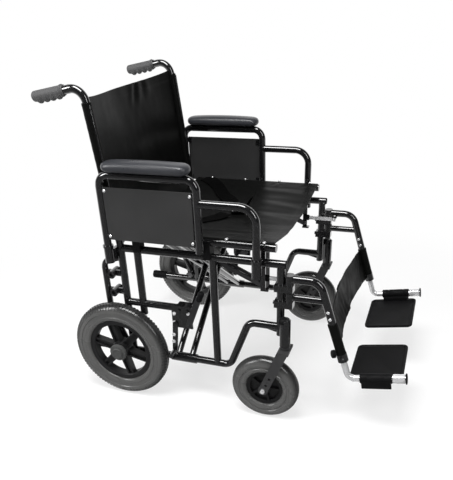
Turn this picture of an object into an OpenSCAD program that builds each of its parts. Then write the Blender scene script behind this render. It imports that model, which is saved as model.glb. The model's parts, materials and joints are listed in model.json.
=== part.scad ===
// Folding transport wheelchair, built as an assembly of separate pieces.
// Millimetres. +X is forward, +Y is the sitter's left, +Z is up, the floor is Z = 0.
// Every side piece is drawn for the left side and mirrored for the right side.
// Distances along X inside the side pieces are measured from the back post.

/* [Frame] */
// distance of the back post behind the middle of the chair
back_setback = 309; // [300:1:320]
// half the distance between the two side frames
frame_half = 266; // [240:1:290]
// outside diameter of the frame tubes
tube_d = 22; // [20:0.5:24]
// wall thickness of the frame tubes
tube_wall = 1.6; // [1.2:0.1:2]
// height of the upper side rail
upper_z = 474; // [465:1:480]
// height of the middle side rail
mid_z = 303; // [295:1:310]
// height of the bottom side rail
low_z = 133; // [128:1:134]
// length of the upper side rail
rail_len = 484; // [480:1:500]
// place of the front post
front_x = 472; // [468:1:474]
// place of the middle post
middle_x = 281; // [275:1:290]
// place of the short rear post
short_x = 52; // [45:1:60]

/* [Back] */
// height at which the back canes start to lean
lean_z = 482; // [470:1:500]
// lean of the back canes in degrees
lean = 6.3; // [4:0.1:8]
// height of the corner between cane and push handle
cane_top = 903; // [880:1:930]
// downward slope of the push handles in degrees
handle_slope = 10; // [4:1:14]
// length of each push handle behind the cane
handle_len = 152; // [145:1:170]
// length of the rubber push grip
grip_len = 96; // [85:1:105]

/* [Seat and cross brace] */
// height of the seat rails
seat_z = 517; // [512:1:522]
// diameter of the four cross tubes
cross_d = 19; // [16:0.5:20]
// place of the rearmost cross tube
cross_x = 129; // [125:1:140]
// distance between neighbouring cross tubes
cross_step = 22; // [21.5:0.5:24]
// sag of the seat sling in its middle
seat_sag = 16; // [5:1:25]
// thickness of the seat and back cloth
cloth = 4; // [3:0.5:5]

/* [Armrest] */
// distance of the armrest tubes outside the side frame
arm_out = 29; // [28:0.5:32]
// height of the tube under the arm pad
arm_z = 690; // [660:1:720]
// drop of the lower front tube below the tube under the pad
step_drop = 61; // [50:1:75]
// place of the rear armrest leg
arm_rear = -22; // [-24:1:-20]
// place of the middle armrest leg
arm_mid = 257; // [245:1:262]
// place of the front armrest leg
arm_front = 414; // [405:1:420]
// width of the arm pad
pad_w = 56; // [45:1:60]
// thickness of the arm pad
pad_t = 31; // [24:1:36]

/* [Wheels] */
// radius of the rear wheel
wheel_r = 156; // [155:0.5:160]
// width of the rear tyre
tyre_w = 44; // [36:1:46]
// height of the rear tyre above its rim
tyre_h = 54; // [48:1:58]
// radius of the front caster wheel
caster_r = 100; // [94:1:102]
// width of the caster wheel
caster_w = 44; // [36:1:46]
// height of the caster tyre above its rim
caster_tyre_h = 46; // [40:1:50]
// how far the caster axle trails behind its swivel
caster_trail = 56; // [50:1:60]
// place of the caster swivel
caster_x = 493; // [490:1:497]

/* [Footrest] */
// height of the upper hanger tube
hang_z = 435; // [425:1:440]
// height of the lower hanger tube
hang_low = 382; // [378:1:386]
// place of the corner at the top of the hanger
hang_x = 576; // [570:1:585]
// slope of the hanger from the vertical in degrees
hang_tilt = 18; // [15:0.5:21]
// height of the footrest tube corner
foot_z = 153; // [150:1:165]
// upward tilt of the footplate in degrees
foot_tilt = 10; // [5:1:14]
// distance of the footplate's inner edge from the middle plane
foot_gap = 59; // [50:1:80]

/* [Fit] */
// clearance between pieces that turn or slide in one another
play = 0.4; // [0.35:0.05:0.6]
// clearance between pieces that are only laid on each other
lay = 0.3; // [0.2:0.05:0.5]
// gap at a tube end that a weld fills
weld = 0.2; // [0.15:0.05:0.3]

/* [Hidden] */
$fn = 48;
tr = tube_d / 2;
ti = tr - tube_wall;
cr = cross_d / 2;
back_x = -back_setback;
black = [0.07, 0.07, 0.08];
rubber = [0.13, 0.13, 0.14];
plated = [0.72, 0.72, 0.74];
cloth_c = [0.10, 0.10, 0.11];
plastic = [0.16, 0.16, 0.17];
// cane corner and handle end in the side plane
cane_c = [-(cane_top - lean_z) * tan(lean), cane_top];
handle_e = cane_c - handle_len * [cos(handle_slope), sin(handle_slope)];
// front corners of the bottom rail
rise_z = 287;
bend_x = 321.5;
rise_x = 380.5;
// axle of the rear wheel
axle_x = -19;
axle_r = 6;
wheel_y = frame_half + tr + 7 + tyre_w / 2;
// rims of the wheels
rim_r = wheel_r - tyre_h;
caster_rim = caster_r - caster_tyre_h;
// armrest
arm_half = frame_half + arm_out;
step_z = arm_z - step_drop;
// caster swivel
caster_y = arm_half;
head_low = 246;
head_top = 330;
// hanger
hinge_x = 496;
hang_end = 215;
ext_r = ti - play;
latch_x = hinge_x + 23;
latch_y = frame_half - tr - 9;
// lower end of the front post
front_low = 266;
// distance of the belt ends from the middle plane
belt_end = 52;
// middle of the scissor
mid_h = (low_z + seat_z) / 2;
arm_len = norm([2 * frame_half, seat_z - low_z]);
arm_ang = atan2(seat_z - low_z, 2 * frame_half);
seat_x0 = 27;
seat_x1 = 459;
lock_y = frame_half + tr + 5;

// Helpers

// one side: s = 1 is the left side, s = -1 its mirror image
module side(s) {
  mirror([0, s < 0 ? 1 : 0, 0])
    translate([back_x, 0, 0])
      children();
}

function dir(a, b) = (b - a) / norm(b - a);

function turn(a, b, c) =
  let (u = dir(a, b), v = dir(b, c))
  atan2(u[0] * v[1] - u[1] * v[0], u * v);

function cut_back(p, i, rb) =
  (i == 0 || i == len(p) - 1) ? 0 : rb * tan(abs(turn(p[i - 1], p[i], p[i + 1])) / 2);

// round section, hollow when ri is above zero
module section(ro, ri) {
  difference() {
    circle(r = ro);
    if (ri > 0) circle(r = ri);
  }
}

// round bar between two points
module bar(a, b, r) {
  d = b - a;
  translate(a)
    rotate([0, acos(d[2] / norm(d)), atan2(d[1], d[0])])
      cylinder(r = r, h = norm(d));
}

// straight tube between two points, open at both ends
module pipe(a, b, ro, ri) {
  d = b - a;
  translate(a)
    rotate([0, acos(d[2] / norm(d)), atan2(d[1], d[0])])
      linear_extrude(norm(d))
        section(ro, ri);
}

// the straight and the bend after corner i, drawn from the local origin along +Z, then the rest;
// a bend is a little thinner than the straights, which reach 1 mm over its ends
module chain(p, i, rb, r) {
  run = norm(p[i + 1] - p[i]) - cut_back(p, i, rb) - cut_back(p, i + 1, rb);
  over = i < len(p) - 2 ? 1 : 0;
  under = i > 0 ? 1 : 0;
  translate([0, 0, -under]) cylinder(r = r, h = run + over + under);
  if (i < len(p) - 2) {
    t = -turn(p[i], p[i + 1], p[i + 2]);
    s = sign(t);
    translate([s * rb, 0, run]) {
      mirror([s > 0 ? 1 : 0, 0, 0])
        rotate([90, 0, 0])
          rotate_extrude(angle = abs(t))
            translate([rb, 0])
              circle(r = r - 0.3);
      rotate([0, t, 0])
        translate([-s * rb, 0, 0])
          chain(p, i + 1, rb, r);
    }
  }
}

// round bar bent in the plane of a side: p holds [x, z] corners, rb is the bend radius
module bent_bar(p, rb, r, y) {
  u = dir(p[0], p[1]);
  translate([p[0][0], y, p[0][1]])
    rotate([0, atan2(u[0], u[1]), 0])
      chain(p, 0, rb, r);
}

// the same corners with both ends moved outward
function longer(p, e) = [
  for (i = [0 : len(p) - 1])
    i == 0 ? p[0] - e * dir(p[0], p[1]) : i == len(p) - 1 ? p[i] + e * dir(p[i - 1], p[i]) : p[i]
];

// bent tube, open at both ends
module bent(p, rb, ro, ri, y) {
  difference() {
    bent_bar(p, rb, ro, y);
    bent_bar(longer(p, 1), rb, ri, y);
  }
}

// box between two corners
module box(a, b) {
  translate(a)
    cube(b - a);
}

// hexagon bolt head at p, pointing along the axis given by a rotation
module hex(p, rot, d, h) {
  translate(p)
    rotate(rot)
      cylinder(d = d, h = h, $fn = 6);
}

// round bar along X or along Y
module bar_x(x0, x1, y, z, r) {
  bar([x0, y, z], [x1, y, z], r);
}

module bar_y(x, y0, y1, z, r) {
  bar([x, y0, z], [x, y1, z], r);
}

// flat plate in the side plane with round ends, from a to b
module strap_bar(a, b, w, y0, y1) {
  u = dir(a, b);
  n = w / 2 * [-u[1], u[0]];
  translate([0, y1, 0])
    rotate([90, 0, 0])
      linear_extrude(y1 - y0)
        union() {
          polygon([a + n, a - n, b - n, b + n]);
          translate(a) circle(d = w);
          translate(b) circle(d = w);
        }
}

// Straight parts of the tubes with the gap for the weld, for cutting the ends of other tubes

module cane_solid() {
  bar([0, frame_half, low_z - 1], [0, frame_half, lean_z + 2], tr + weld);
}

module upper_solid() {
  bar_x(-1, rail_len + 1, frame_half, upper_z, tr + weld);
}

module mid_solid() {
  bar_x(-1, 218, frame_half, mid_z, tr + weld);
}

module low_solid() {
  bar_x(-146, bend_x - 20, frame_half, low_z, tr + weld);
}

module front_solid(e) {
  bar([front_x, frame_half, 262], [front_x, frame_half, upper_z], tr + e);
}

// Side frame

// back cane with its push handle, one bent tube standing on the bottom rail
module cane() {
  difference() {
    bent([[0, low_z], [0, lean_z], cane_c, handle_e], 38, tr, ti, frame_half);
    low_solid();
  }
}

// rubber grip with a collar, finger ridges below and a closed end
module grip() {
  translate([handle_e[0], frame_half, handle_e[1]])
    rotate([0, 90 - handle_slope, 0])
      difference() {
        union() {
          translate([0, 0, -5]) cylinder(r1 = tr + 2, r2 = tr + 4.5, h = 4);
          translate([0, 0, -1]) cylinder(r = tr + 4.5, h = grip_len - 3);
          translate([0, 0, grip_len - 4]) cylinder(r = tr + 7, h = 4);
          for (i = [0 : 3])
            translate([tr - 4, 0, 16 + i * 20]) sphere(r = 11);
        }
        cylinder(r = tr, h = grip_len + 1);
      }
}

// upper, middle and bottom rail
module rails() {
  difference() {
    pipe([0, frame_half, upper_z], [rail_len, frame_half, upper_z], tr, ti);
    cane_solid();
  }
  difference() {
    pipe([0, frame_half, mid_z], [217, frame_half, mid_z], tr, ti);
    cane_solid();
  }
  difference() {
    bent([[-145, low_z], [bend_x, low_z], [rise_x, rise_z], [front_x, rise_z]], 30, tr, ti, frame_half);
    front_solid(weld);
  }
}

// wheel axle sleeve and two spare sleeves in a bowed tube behind the cane
module axle_mount() {
  bow = [[0, 447], [-62, 426], [-62, 262], [axle_x, wheel_r]];
  difference() {
    union() {
      bent(bow, 26, 9.5, 8, frame_half);
      for (z = [335, 393]) {
        bar_y(-33, frame_half - 20, frame_half + 20, z, 12);
        box([-56, frame_half - 3, z - 9], [0, frame_half + 3, z + 9]);
      }
      bar_y(axle_x, frame_half - 14, frame_half + tr + 7, wheel_r, 11.5);
    }
    cane_solid();
    low_solid();
    for (z = [335, 393])
      bar_y(-33, frame_half - 30, frame_half + 30, z, axle_r + 0.2);
    bar_y(axle_x, frame_half - 30, frame_half + 40, wheel_r, axle_r + 0.05);
  }
}

// open tube in which an armrest leg stands, with its lug to the frame
module arm_socket(x, lug0, lug1) {
  difference() {
    union() {
      bar([x, arm_half, upper_z - 34], [x, arm_half, upper_z + 16], tr + 2.5);
      bar([x, arm_half, upper_z + 12], [x, arm_half, upper_z + 18], tr + 4);
      box(lug0, lug1);
    }
    bar([x, arm_half, upper_z - 35], [x, arm_half, upper_z + 19], tr + play);
    upper_solid();
    cane_solid();
  }
}

// block on the front post with a pin on which the hanger hangs
module hinge_block(z_top) {
  box([front_x - 16, frame_half - 13, z_top - 20], [hinge_x + 11, frame_half + 13, z_top]);
  bar([hinge_x, frame_half, z_top - 1], [hinge_x, frame_half, z_top + 22], 5.5);
}

// posts, axle mount, armrest sockets, caster head tube and hanger hinges, all welded on
module posts() {
  difference() {
    pipe([short_x, frame_half, mid_z], [short_x, frame_half, upper_z], tr, ti);
    upper_solid();
    mid_solid();
  }
  difference() {
    bar([short_x, frame_half, 268], [short_x, frame_half, mid_z], tr);
    mid_solid();
  }
  difference() {
    pipe([middle_x, frame_half, low_z], [middle_x, frame_half, upper_z], tr, ti);
    upper_solid();
    low_solid();
  }
  axle_mount();
  arm_socket(arm_rear, [-16, frame_half, upper_z - 24], [-6, arm_half - 4, upper_z + 6]);
  arm_socket(arm_front, [arm_front - 8, frame_half, upper_z - 9], [arm_front + 8, arm_half - 4, upper_z + 9]);
  difference() {
    union() {
      front_solid(0);
      hinge_block(hang_z - 17);
      hinge_block(hang_low - 11);
      bar([caster_x, caster_y, head_low], [caster_x, caster_y, head_top - 4], 15);
      translate([caster_x, caster_y, head_top - 4]) cylinder(r1 = 15, r2 = 10, h = 5);
      translate([(front_x + caster_x) / 2, (frame_half + caster_y) / 2, 290])
        rotate([0, 0, atan2(caster_y - frame_half, caster_x - front_x)])
          cube([30, 10, 54], center = true);
      translate([0, frame_half + 2, 0])
        rotate([90, 0, 0])
          linear_extrude(4)
            polygon([[420, rise_z - 8], [front_x, rise_z - 8], [front_x, front_low]]);
    }
    upper_solid();
    low_rail_front();
    bar([caster_x, caster_y, head_low - 1], [caster_x, caster_y, head_top - 7], 8);
    bar([front_x, frame_half, front_low], [front_x, frame_half, upper_z - tr - 4], ti);
  }
  // flat bracket inside the upper rail with a foot at its lower end
  difference() {
    union() {
      box([412, frame_half - tr - 4.5, 388], [426, frame_half - tr + 1, upper_z + 28]);
      box([412, frame_half - tr - 13, 384], [434, frame_half - tr + 1, 389]);
    }
    upper_solid();
  }
}

// straight end of the bottom rail in front of its second bend
module low_rail_front() {
  difference() {
    bar_x(405, front_x, frame_half, rise_z, tr + weld);
    front_solid(0.1);
  }
}

// saddle on the upper rail in which the seat rail lies
module seat_guide(x) {
  difference() {
    box([x - 11, frame_half - 15, upper_z - 3], [x + 11, frame_half + 15, seat_z + 2]);
    upper_solid();
    bar_x(x - 20, x + 20, frame_half, seat_z, tr + play);
    box([x - 20, frame_half - tr - play, seat_z], [x + 20, frame_half + tr + play, seat_z + 20]);
  }
}

// plugs in the open tube ends, rubber tip of the tipping lever and seat saddles
module trim() {
  seat_guide(58);
  seat_guide(middle_x - 12);
  bar_x(rail_len - 14, rail_len, frame_half, upper_z, ti);
  translate([rail_len, frame_half, upper_z])
    rotate([0, 90, 0]) cylinder(r1 = tr, r2 = tr - 2, h = 3);
  bar_x(205, 217, frame_half, mid_z, ti);
  difference() {
    union() {
      bar_x(-183, -128, frame_half, low_z, tr + 3);
      for (x = [-176, -164, -152])
        bar_x(x - 3, x + 3, frame_half, low_z, tr + 4);
    }
    bar_x(-145, -120, frame_half, low_z, tr);
  }
}

// axle, bolts and the two plated stay bars
module bolts() {
  bar_y(axle_x, frame_half - 20, wheel_y + tyre_w / 2 - 4, wheel_r, axle_r);
  hex([axle_x, frame_half - 14, wheel_r], [90, 0, 0], 19, 8);
  difference() {
    bar_y(axle_x, frame_half + tr + 7, frame_half + tr + 8.4, wheel_r, 10);
    bar_y(axle_x, frame_half, frame_half + 60, wheel_r, axle_r);
  }
  for (z = [hang_z - 27, hang_low - 21])
    hex([front_x - 16, frame_half, z], [0, -90, 0], 11, 5);
  for (z = [upper_z - 16, upper_z + 16])
    hex([419, frame_half - tr - 4.5, z], [90, 0, 0], 9, 4);
  difference() {
    union() {
      strap_bar([416, 398], [middle_x, 457], 12, frame_half - tr - 8.5, frame_half - tr - 4.5);
      strap_bar([419, 405], [middle_x + 36, 451], 9, frame_half - tr - 15.5, frame_half - tr - 12.5);
      bar_y(middle_x, frame_half - tr - 4.5, frame_half - tr + 2, 457, 5);
      bar_y(419, frame_half - tr - 19, frame_half - tr - 4.5, 401, 4.2);
      bar_y(middle_x + 36, frame_half - tr - 19, frame_half - tr - 6, 446, 4.2);
      hex([416, frame_half - tr - 8.5, 398], [90, 0, 0], 9, 2);
      hex([middle_x, frame_half - tr - 8.5, 457], [90, 0, 0], 9, 4);
    }
    bar([middle_x, frame_half, low_z], [middle_x, frame_half, upper_z], tr);
    upper_solid();
  }
}

// Wheel lock

// clamp on the middle rail with the plate that carries lever and shoe
module clamp() {
  difference() {
    union() {
      box([165, frame_half - 15, mid_z - 14], [210, lock_y, mid_z + 14]);
      box([150, lock_y - 4, 246], [214, lock_y, mid_z + 14]);
    }
    bar_x(150, 230, frame_half, mid_z, tr);
    bar_y(203, lock_y - 20, lock_y + 20, 258, 4 + play);
    bar_y(160, lock_y - 20, lock_y + 20, 258, 4 + play);
  }
  for (x = [174, 200])
    hex([x, lock_y, mid_z], [-90, 0, 0], 10, 4);
}

// hand lever with its pivot pin and plastic knob
module lever() {
  strap_bar([203, 258], [239, 350], 18, lock_y + 0.5, lock_y + 4.5);
  bar_y(203, lock_y - 5, lock_y + 7, 258, 4);
  bar([240, lock_y + 2.5, 346], [249, lock_y + 2.5, 370], 7.5);
}

// arm with the round bar that presses on the tyre
module shoe() {
  strap_bar([160, 258], [152, 165], 16, lock_y + 0.5, lock_y + 4.5);
  bar_y(160, lock_y - 5, lock_y + 7, 258, 4);
  bar_y(152, lock_y, wheel_y + 14, 165, 7.5);
}

// Cross brace

function cross_at(i) = cross_x + i * cross_step;

// two tubes from the right bottom rail up to the left seat rail; first is the place of the rear one
module cross(first, bore) {
  difference() {
    union() {
      for (i = [first, first + 2])
        pipe([cross_at(i), -frame_half, low_z], [cross_at(i), frame_half, seat_z], cr, cr - 1.5);
      bar_x(cross_at(first) - 18, cross_at(first + 2) + 18, -frame_half, low_z, tr + play + 3);
      for (i = [first, first + 2])
        bar_x(cross_at(i) - 8, cross_at(i) + 8, 0, mid_h, 7.5);
    }
    bar_x(cross_at(first) - 19, cross_at(first + 2) + 19, -frame_half, low_z, tr + play);
    bar_x(seat_x0, seat_x1, frame_half, seat_z, tr);
    bar_x(cross_at(0) - 30, cross_at(3) + 30, 0, mid_h, bore);
  }
}

// tube under one edge of the seat, with end plugs
module seat_tube() {
  pipe([seat_x0, frame_half, seat_z], [seat_x1, frame_half, seat_z], tr, ti);
  for (x = [seat_x0, seat_x1 - 12])
    bar_x(x, x + 12, frame_half, seat_z, ti);
}

// bolt through the crossing of the four tubes
module pivot() {
  bar_x(cross_at(0) - cr - 3, cross_at(3) + cr + 3, 0, mid_h, 4);
  hex([cross_at(3) + cr + 1, 0, mid_h], [0, 90, 0], 14, 6);
  hex([cross_at(0) - cr - 1, 0, mid_h], [0, -90, 0], 14, 6);
}

// Wheels

// rear wheel centre with six spokes, drawn around the axle with +Z outward
module mag() {
  end = rim_r - 13.4;
  difference() {
    union() {
      cylinder(r = 29, h = tyre_w - 4, center = true);
      rotate_extrude()
        polygon([
          [rim_r - 15, -12], [rim_r - 12, -14], [rim_r, -15],
          [rim_r, 15], [rim_r - 12, 14], [rim_r - 15, 12]
        ]);
      for (k = [0 : 5])
        rotate([0, 0, k * 60 + 14]) {
          linear_extrude(10, center = true)
            polygon([[18, -10], [end, -8], [end, 8], [18, 10]]);
          for (s = [-1, 1])
            linear_extrude(20, center = true)
              polygon([[18, s * 10 - 2.5], [end, s * 8 - 2.5], [end, s * 8 + 2.5], [18, s * 10 + 2.5]]);
        }
      translate([0, 0, tyre_w / 2 - 2]) cylinder(r = 18, h = 4);
      translate([0, 0, tyre_w / 2 + 2]) cylinder(r1 = 17, r2 = 12, h = 3);
    }
    translate([0, 0, -tyre_w]) cylinder(r = axle_r + play, h = tyre_w * 1.5 - 3);
  }
}

// solid tyre with rounded shoulders
module tyre(ri, ro, w) {
  h = w / 2;
  rotate_extrude()
    polygon([
      [ri, -h + 7], [ri + 5, -h + 3], [ri + 0.5 * (ro - ri), -h], [ro - 8, -h + 2], [ro - 2, -h + 8], [ro, -h + 15],
      [ro, h - 15], [ro - 2, h - 8], [ro - 8, h - 2], [ri + 0.5 * (ro - ri), h], [ri + 5, h - 3], [ri, h - 7]
    ]);
}

module rear_at(s) {
  side(s)
    translate([axle_x, wheel_y, wheel_r])
      rotate([-90, 0, 0])
        children();
}

module caster_at(s) {
  side(s)
    translate([caster_x - caster_trail, caster_y, caster_r])
      rotate([-90, 0, 0])
        children();
}

// caster wheel centre: hub, web and rim
module caster_centre() {
  difference() {
    union() {
      cylinder(r = 17, h = caster_w, center = true);
      cylinder(r = caster_rim - 4, h = 8, center = true);
      rotate_extrude()
        polygon([[caster_rim - 10, -11], [caster_rim, -14], [caster_rim, 14], [caster_rim - 10, 11]]);
      for (k = [0 : 4])
        rotate([0, 0, k * 72])
          linear_extrude(24, center = true)
            polygon([[14, -3], [caster_rim - 8, -3], [caster_rim - 8, 3], [14, 3]]);
    }
    cylinder(r = 4 + play, h = 80, center = true);
  }
}

// fork with its swivel stem and two flat legs
module fork() {
  leg0 = caster_w / 2 + 2.5;
  difference() {
    union() {
      bar([caster_x, caster_y, 236], [caster_x, caster_y, head_top - 12], 8 - play);
      bar([caster_x, caster_y, 236], [caster_x, caster_y, head_low - 0.5], 14);
      box([caster_x - 16, caster_y - leg0 - 5, 229], [caster_x + 16, caster_y + leg0 + 5, 236]);
      for (y = [caster_y - leg0 - 5, caster_y + leg0])
        translate([0, y + 5, 0])
          rotate([90, 0, 0])
            linear_extrude(5)
              union() {
                polygon([
                  [caster_x + 16, 236], [caster_x - 16, 236],
                  [caster_x - caster_trail - 13, caster_r + 4], [caster_x - caster_trail + 13, caster_r - 4]
                ]);
                translate([caster_x - caster_trail, caster_r]) circle(r = 14);
              }
    }
    bar_y(caster_x - caster_trail, caster_y - 50, caster_y + 50, caster_r, 4);
    for (k = [0.16, 0.34])
      bar_y(caster_x - caster_trail * (1 - k), caster_y - 50, caster_y + 50, caster_r + k * (229 - caster_r), 4);
  }
}

// axle bolt of the caster with head and nut
module caster_axle() {
  e = caster_w / 2 + 7.5;
  bar_y(caster_x - caster_trail, caster_y - e, caster_y + e, caster_r, 4);
  hex([caster_x - caster_trail, caster_y + e, caster_r], [-90, 0, 0], 14, 6);
  hex([caster_x - caster_trail, caster_y - e, caster_r], [90, 0, 0], 14, 6);
}

// Armrest

arm_low = upper_z - 32;
arm_mid_low = upper_z + 20;

panel_z0 = upper_z + 38;
panel_z1 = arm_z - 31;
screw_in = tr + 5;

// places of the four panel screws
function panel_screw() = [
  [arm_rear + screw_in, panel_z0 + 10], [arm_mid - screw_in, panel_z0 + 10],
  [arm_rear + screw_in, panel_z1 - 10], [arm_mid - screw_in, panel_z1 - 10]
];

// bent tube of the armrest with the lower step in front and four tabs for the panel
module arm_frame() {
  bent([[arm_rear, arm_low], [arm_rear, arm_z], [arm_mid, arm_z], [arm_mid, arm_mid_low]], 30, tr, ti, arm_half);
  for (z = [panel_z0 + 10, panel_z1 - 10]) {
    box([arm_rear + tr - 1.2, arm_half + 1, z - 8], [arm_rear + tr + 12, arm_half + 4, z + 8]);
    box([arm_mid - tr - 12, arm_half + 1, z - 8], [arm_mid - tr + 1.2, arm_half + 4, z + 8]);
  }
  difference() {
    bent([[arm_mid, step_z], [arm_front, step_z], [arm_front, arm_low]], 45, tr, ti, arm_half);
    bar([arm_mid, arm_half, arm_mid_low], [arm_mid, arm_half, arm_z], tr + weld);
  }
}

// padded arm pad with a crown and drawn-in sides
module pad() {
  x0 = arm_rear + 15;
  x1 = arm_mid - 11;
  z0 = arm_z + tr + lay;
  w = pad_w / 2;
  hull() {
    for (x = [x0 + 14, x1 - 14], y = [-1, 1]) {
      translate([x, arm_half + y * (w - 14), z0]) cylinder(r = 11, h = 2, $fn = 20);
      translate([x, arm_half + y * (w - 12), z0 + 13]) sphere(r = 12, $fn = 20);
    }
    for (x = [x0 + 20, x1 - 20], y = [-1, 1])
      translate([x, arm_half + y * (w - 20), z0 + pad_t - 13]) sphere(r = 12, $fn = 20);
    for (x = [x0 + 40, x1 - 40])
      translate([x, arm_half, z0 + pad_t - 12]) sphere(r = 12, $fn = 20);
  }
}

// thin side panel between the legs, on their tabs
module panel() {
  translate([0, arm_half + 7, 0])
    rotate([90, 0, 0])
      linear_extrude(3)
        difference() {
          translate([arm_rear + tr + lay, panel_z0])
            square([arm_mid - arm_rear - 2 * tr - 2 * lay, panel_z1 - panel_z0]);
          for (p = panel_screw())
            translate(p) circle(r = 2.2);
        }
}

module screws() {
  y0 = arm_half + 4;
  for (p = panel_screw()) {
    bar_y(p[0], y0, y0 + 3, p[1], 2.2);
    translate([p[0], y0 + 3, p[1]])
      rotate([-90, 0, 0]) cylinder(r1 = 4.5, r2 = 3, h = 2.2);
  }
}

// Footrest

hang_u = [sin(hang_tilt), -cos(hang_tilt)];
function hang_at(z) = [hang_x + (hang_z - z) * tan(hang_tilt), z];
function at_y(p, y) = [p[0], y, p[1]];

// swing-away hanger: two barrels on the hinge pins, bent tube and clamp collar
module hanger() {
  e = hang_at(hang_end);
  difference() {
    union() {
      bar([hinge_x, frame_half, hang_z - 16.4], [hinge_x, frame_half, hang_z + 12], tr + 1.5);
      bent([[hinge_x, hang_z], [hang_x, hang_z], e], 38, tr, ti, frame_half);
    }
    bar([hinge_x, frame_half, hang_z - 20], [hinge_x, frame_half, hang_z + 8], 5.5 + play);
  }
  difference() {
    union() {
      bar([hinge_x, frame_half, hang_low - 10.4], [hinge_x, frame_half, hang_low + 14], tr + 1.5);
      bar_x(hinge_x, hang_at(hang_low)[0], frame_half, hang_low, tr - 1.5);
    }
    bar([hinge_x, frame_half, hang_low - 20], [hinge_x, frame_half, hang_low + 15], 5.5 + play);
    bar(at_y(hang_at(hang_z), frame_half), at_y(e, frame_half), tr + weld);
  }
  // clamp collar with its bolt
  difference() {
    union() {
      bar(at_y(e - 16 * hang_u, frame_half), at_y(e + 8 * hang_u, frame_half), tr + 3.5);
      bar_y(e[0], frame_half + tr, frame_half + tr + 12, e[1] + 5, 6);
    }
    bar(at_y(e - 30 * hang_u, frame_half), at_y(e, frame_half), tr);
    bar(at_y(e - 30 * hang_u, frame_half), at_y(e + 20 * hang_u, frame_half), ti);
  }
  // lug for the latch on the inner side of the upper tube
  difference() {
    box([latch_x - 8, latch_y - 6, hang_z - 8], [latch_x + 8, frame_half, hang_z - 3]);
    bar_x(latch_x - 19, latch_x + 21, frame_half, hang_z, tr - 1);
    bar([latch_x, latch_y, hang_z - 20], [latch_x, latch_y, hang_z], 3 + play);
  }
}

// latch lever inside the post, on a pin in the hanger's lug
module latch() {
  y = latch_y;
  box([latch_x - 88, y - 2, hang_z - 20], [latch_x, y + 2, hang_z - 8.5]);
  bar([latch_x, y, hang_z - 20], [latch_x, y, hang_z - 8.5], 5);
  bar([latch_x, y, hang_z - 9], [latch_x, y, hang_z - 1], 3);
  box([latch_x - 102, y - 3.5, hang_z - 22], [latch_x - 88, y + 3.5, hang_z - 6.5]);
}

foot_c = hang_at(foot_z);
foot_u = [cos(foot_tilt), sin(foot_tilt)];

// plated tube that slides in the hanger and carries the footplate
module foot_tube() {
  bent([hang_at(300), foot_c, foot_c + 150 * foot_u], 20, ext_r, ext_r - 1.5, frame_half);
  bar(at_y(foot_c + 140 * foot_u, frame_half), at_y(foot_c + 150 * foot_u, frame_half), ext_r - 1.5);
  bar(at_y(foot_c + 150 * foot_u, frame_half), at_y(foot_c + 154 * foot_u, frame_half), ext_r + 1.5);
}

// footplate on its hinge sleeve; drawn level along the tube and then tilted
module plate() {
  r = 14;
  w = frame_half - foot_gap;
  translate(at_y(foot_c, frame_half))
    rotate([0, -foot_tilt, 0])
      difference() {
        union() {
          bar_x(34, 118, 0, 0, ext_r + play + 3);
          translate([0, 0, -20])
            linear_extrude(5)
              union() {
                translate([-4 + r, -w]) square([146 - 2 * r, w - 14]);
                translate([-4, -w + r]) square([146, w - 14 - 2 * r]);
                for (x = [-4 + r, 142 - r], y = [-w + r, -14 - r])
                  translate([x, y]) circle(r = r);
              }
          box([38, -24, -20], [114, 0, 0]);
          box([38, 4, -26], [114, 10, 0]);
        }
        bar_x(30, 122, 0, 0, ext_r + play);
      }
}

// Cloth

// height of the upper face of the seat at a distance y from the middle
function seat_top(y) = seat_z + tr + lay + cloth - seat_sag * (1 - pow(min(abs(y) / (frame_half - tr), 1), 2));

// half of the seat sling, from its seat rail to the middle
module seat_half() {
  n = 8;
  w = frame_half - tr;
  e = frame_half + 6;
  up = [for (i = [0 : n]) [w * i / n, seat_top(w * i / n)]];
  down = [for (i = [n : -1 : 0]) [w * i / n, seat_top(w * i / n) - cloth]];
  edge = [[e, seat_top(e)], [e, seat_top(e) - cloth]];
  translate([seat_x0 + 4, 0, 0])
    rotate([90, 0, 90])
      linear_extrude(seat_x1 - seat_x0 - 8)
        polygon(concat(up, edge, down));
}

// half of the back sling: a sleeve on the cane and a sheet that bows backward
module back_half() {
  n = 8;
  h0 = 50;
  h1 = (cane_top - lean_z) / cos(lean) - 44;
  bow = 22;
  in_r = tr + lay;
  front = [for (i = [0 : n]) [-bow * (1 - pow(i / n, 2)), (frame_half - 4) * i / n]];
  rear = [for (i = [n : -1 : 0]) [-bow * (1 - pow(i / n, 2)) - cloth, (frame_half - 4) * i / n]];
  translate([0, 0, lean_z])
    rotate([0, -lean, 0])
      translate([0, 0, h0])
        linear_extrude(h1 - h0)
          difference() {
            union() {
              translate([0, frame_half]) circle(r = in_r + cloth - 1);
              polygon(concat(front, rear));
            }
            translate([0, frame_half]) circle(r = in_r);
          }
}

// half of the calf strap: a sleeve on the hanger tube and a band that bows backward
module strap_half() {
  n = 6;
  bow = 26;
  in_r = tr + lay;
  a = hang_at(316);
  front = [for (i = [0 : n]) [-bow * (1 - pow(i / n, 2)) + 1, (frame_half - 6) * i / n]];
  rear = [for (i = [n : -1 : 0]) [-bow * (1 - pow(i / n, 2)) - 1.5, (frame_half - 6) * i / n]];
  translate([a[0], 0, a[1]])
    rotate([0, 180 - hang_tilt, 0])
      mirror([1, 0, 0])
        linear_extrude(82)
          difference() {
            union() {
              translate([0, frame_half]) circle(r = in_r + 2);
              polygon(concat(front, rear));
            }
            translate([0, frame_half]) circle(r = in_r);
          }
}

belt_w = 44;

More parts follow.
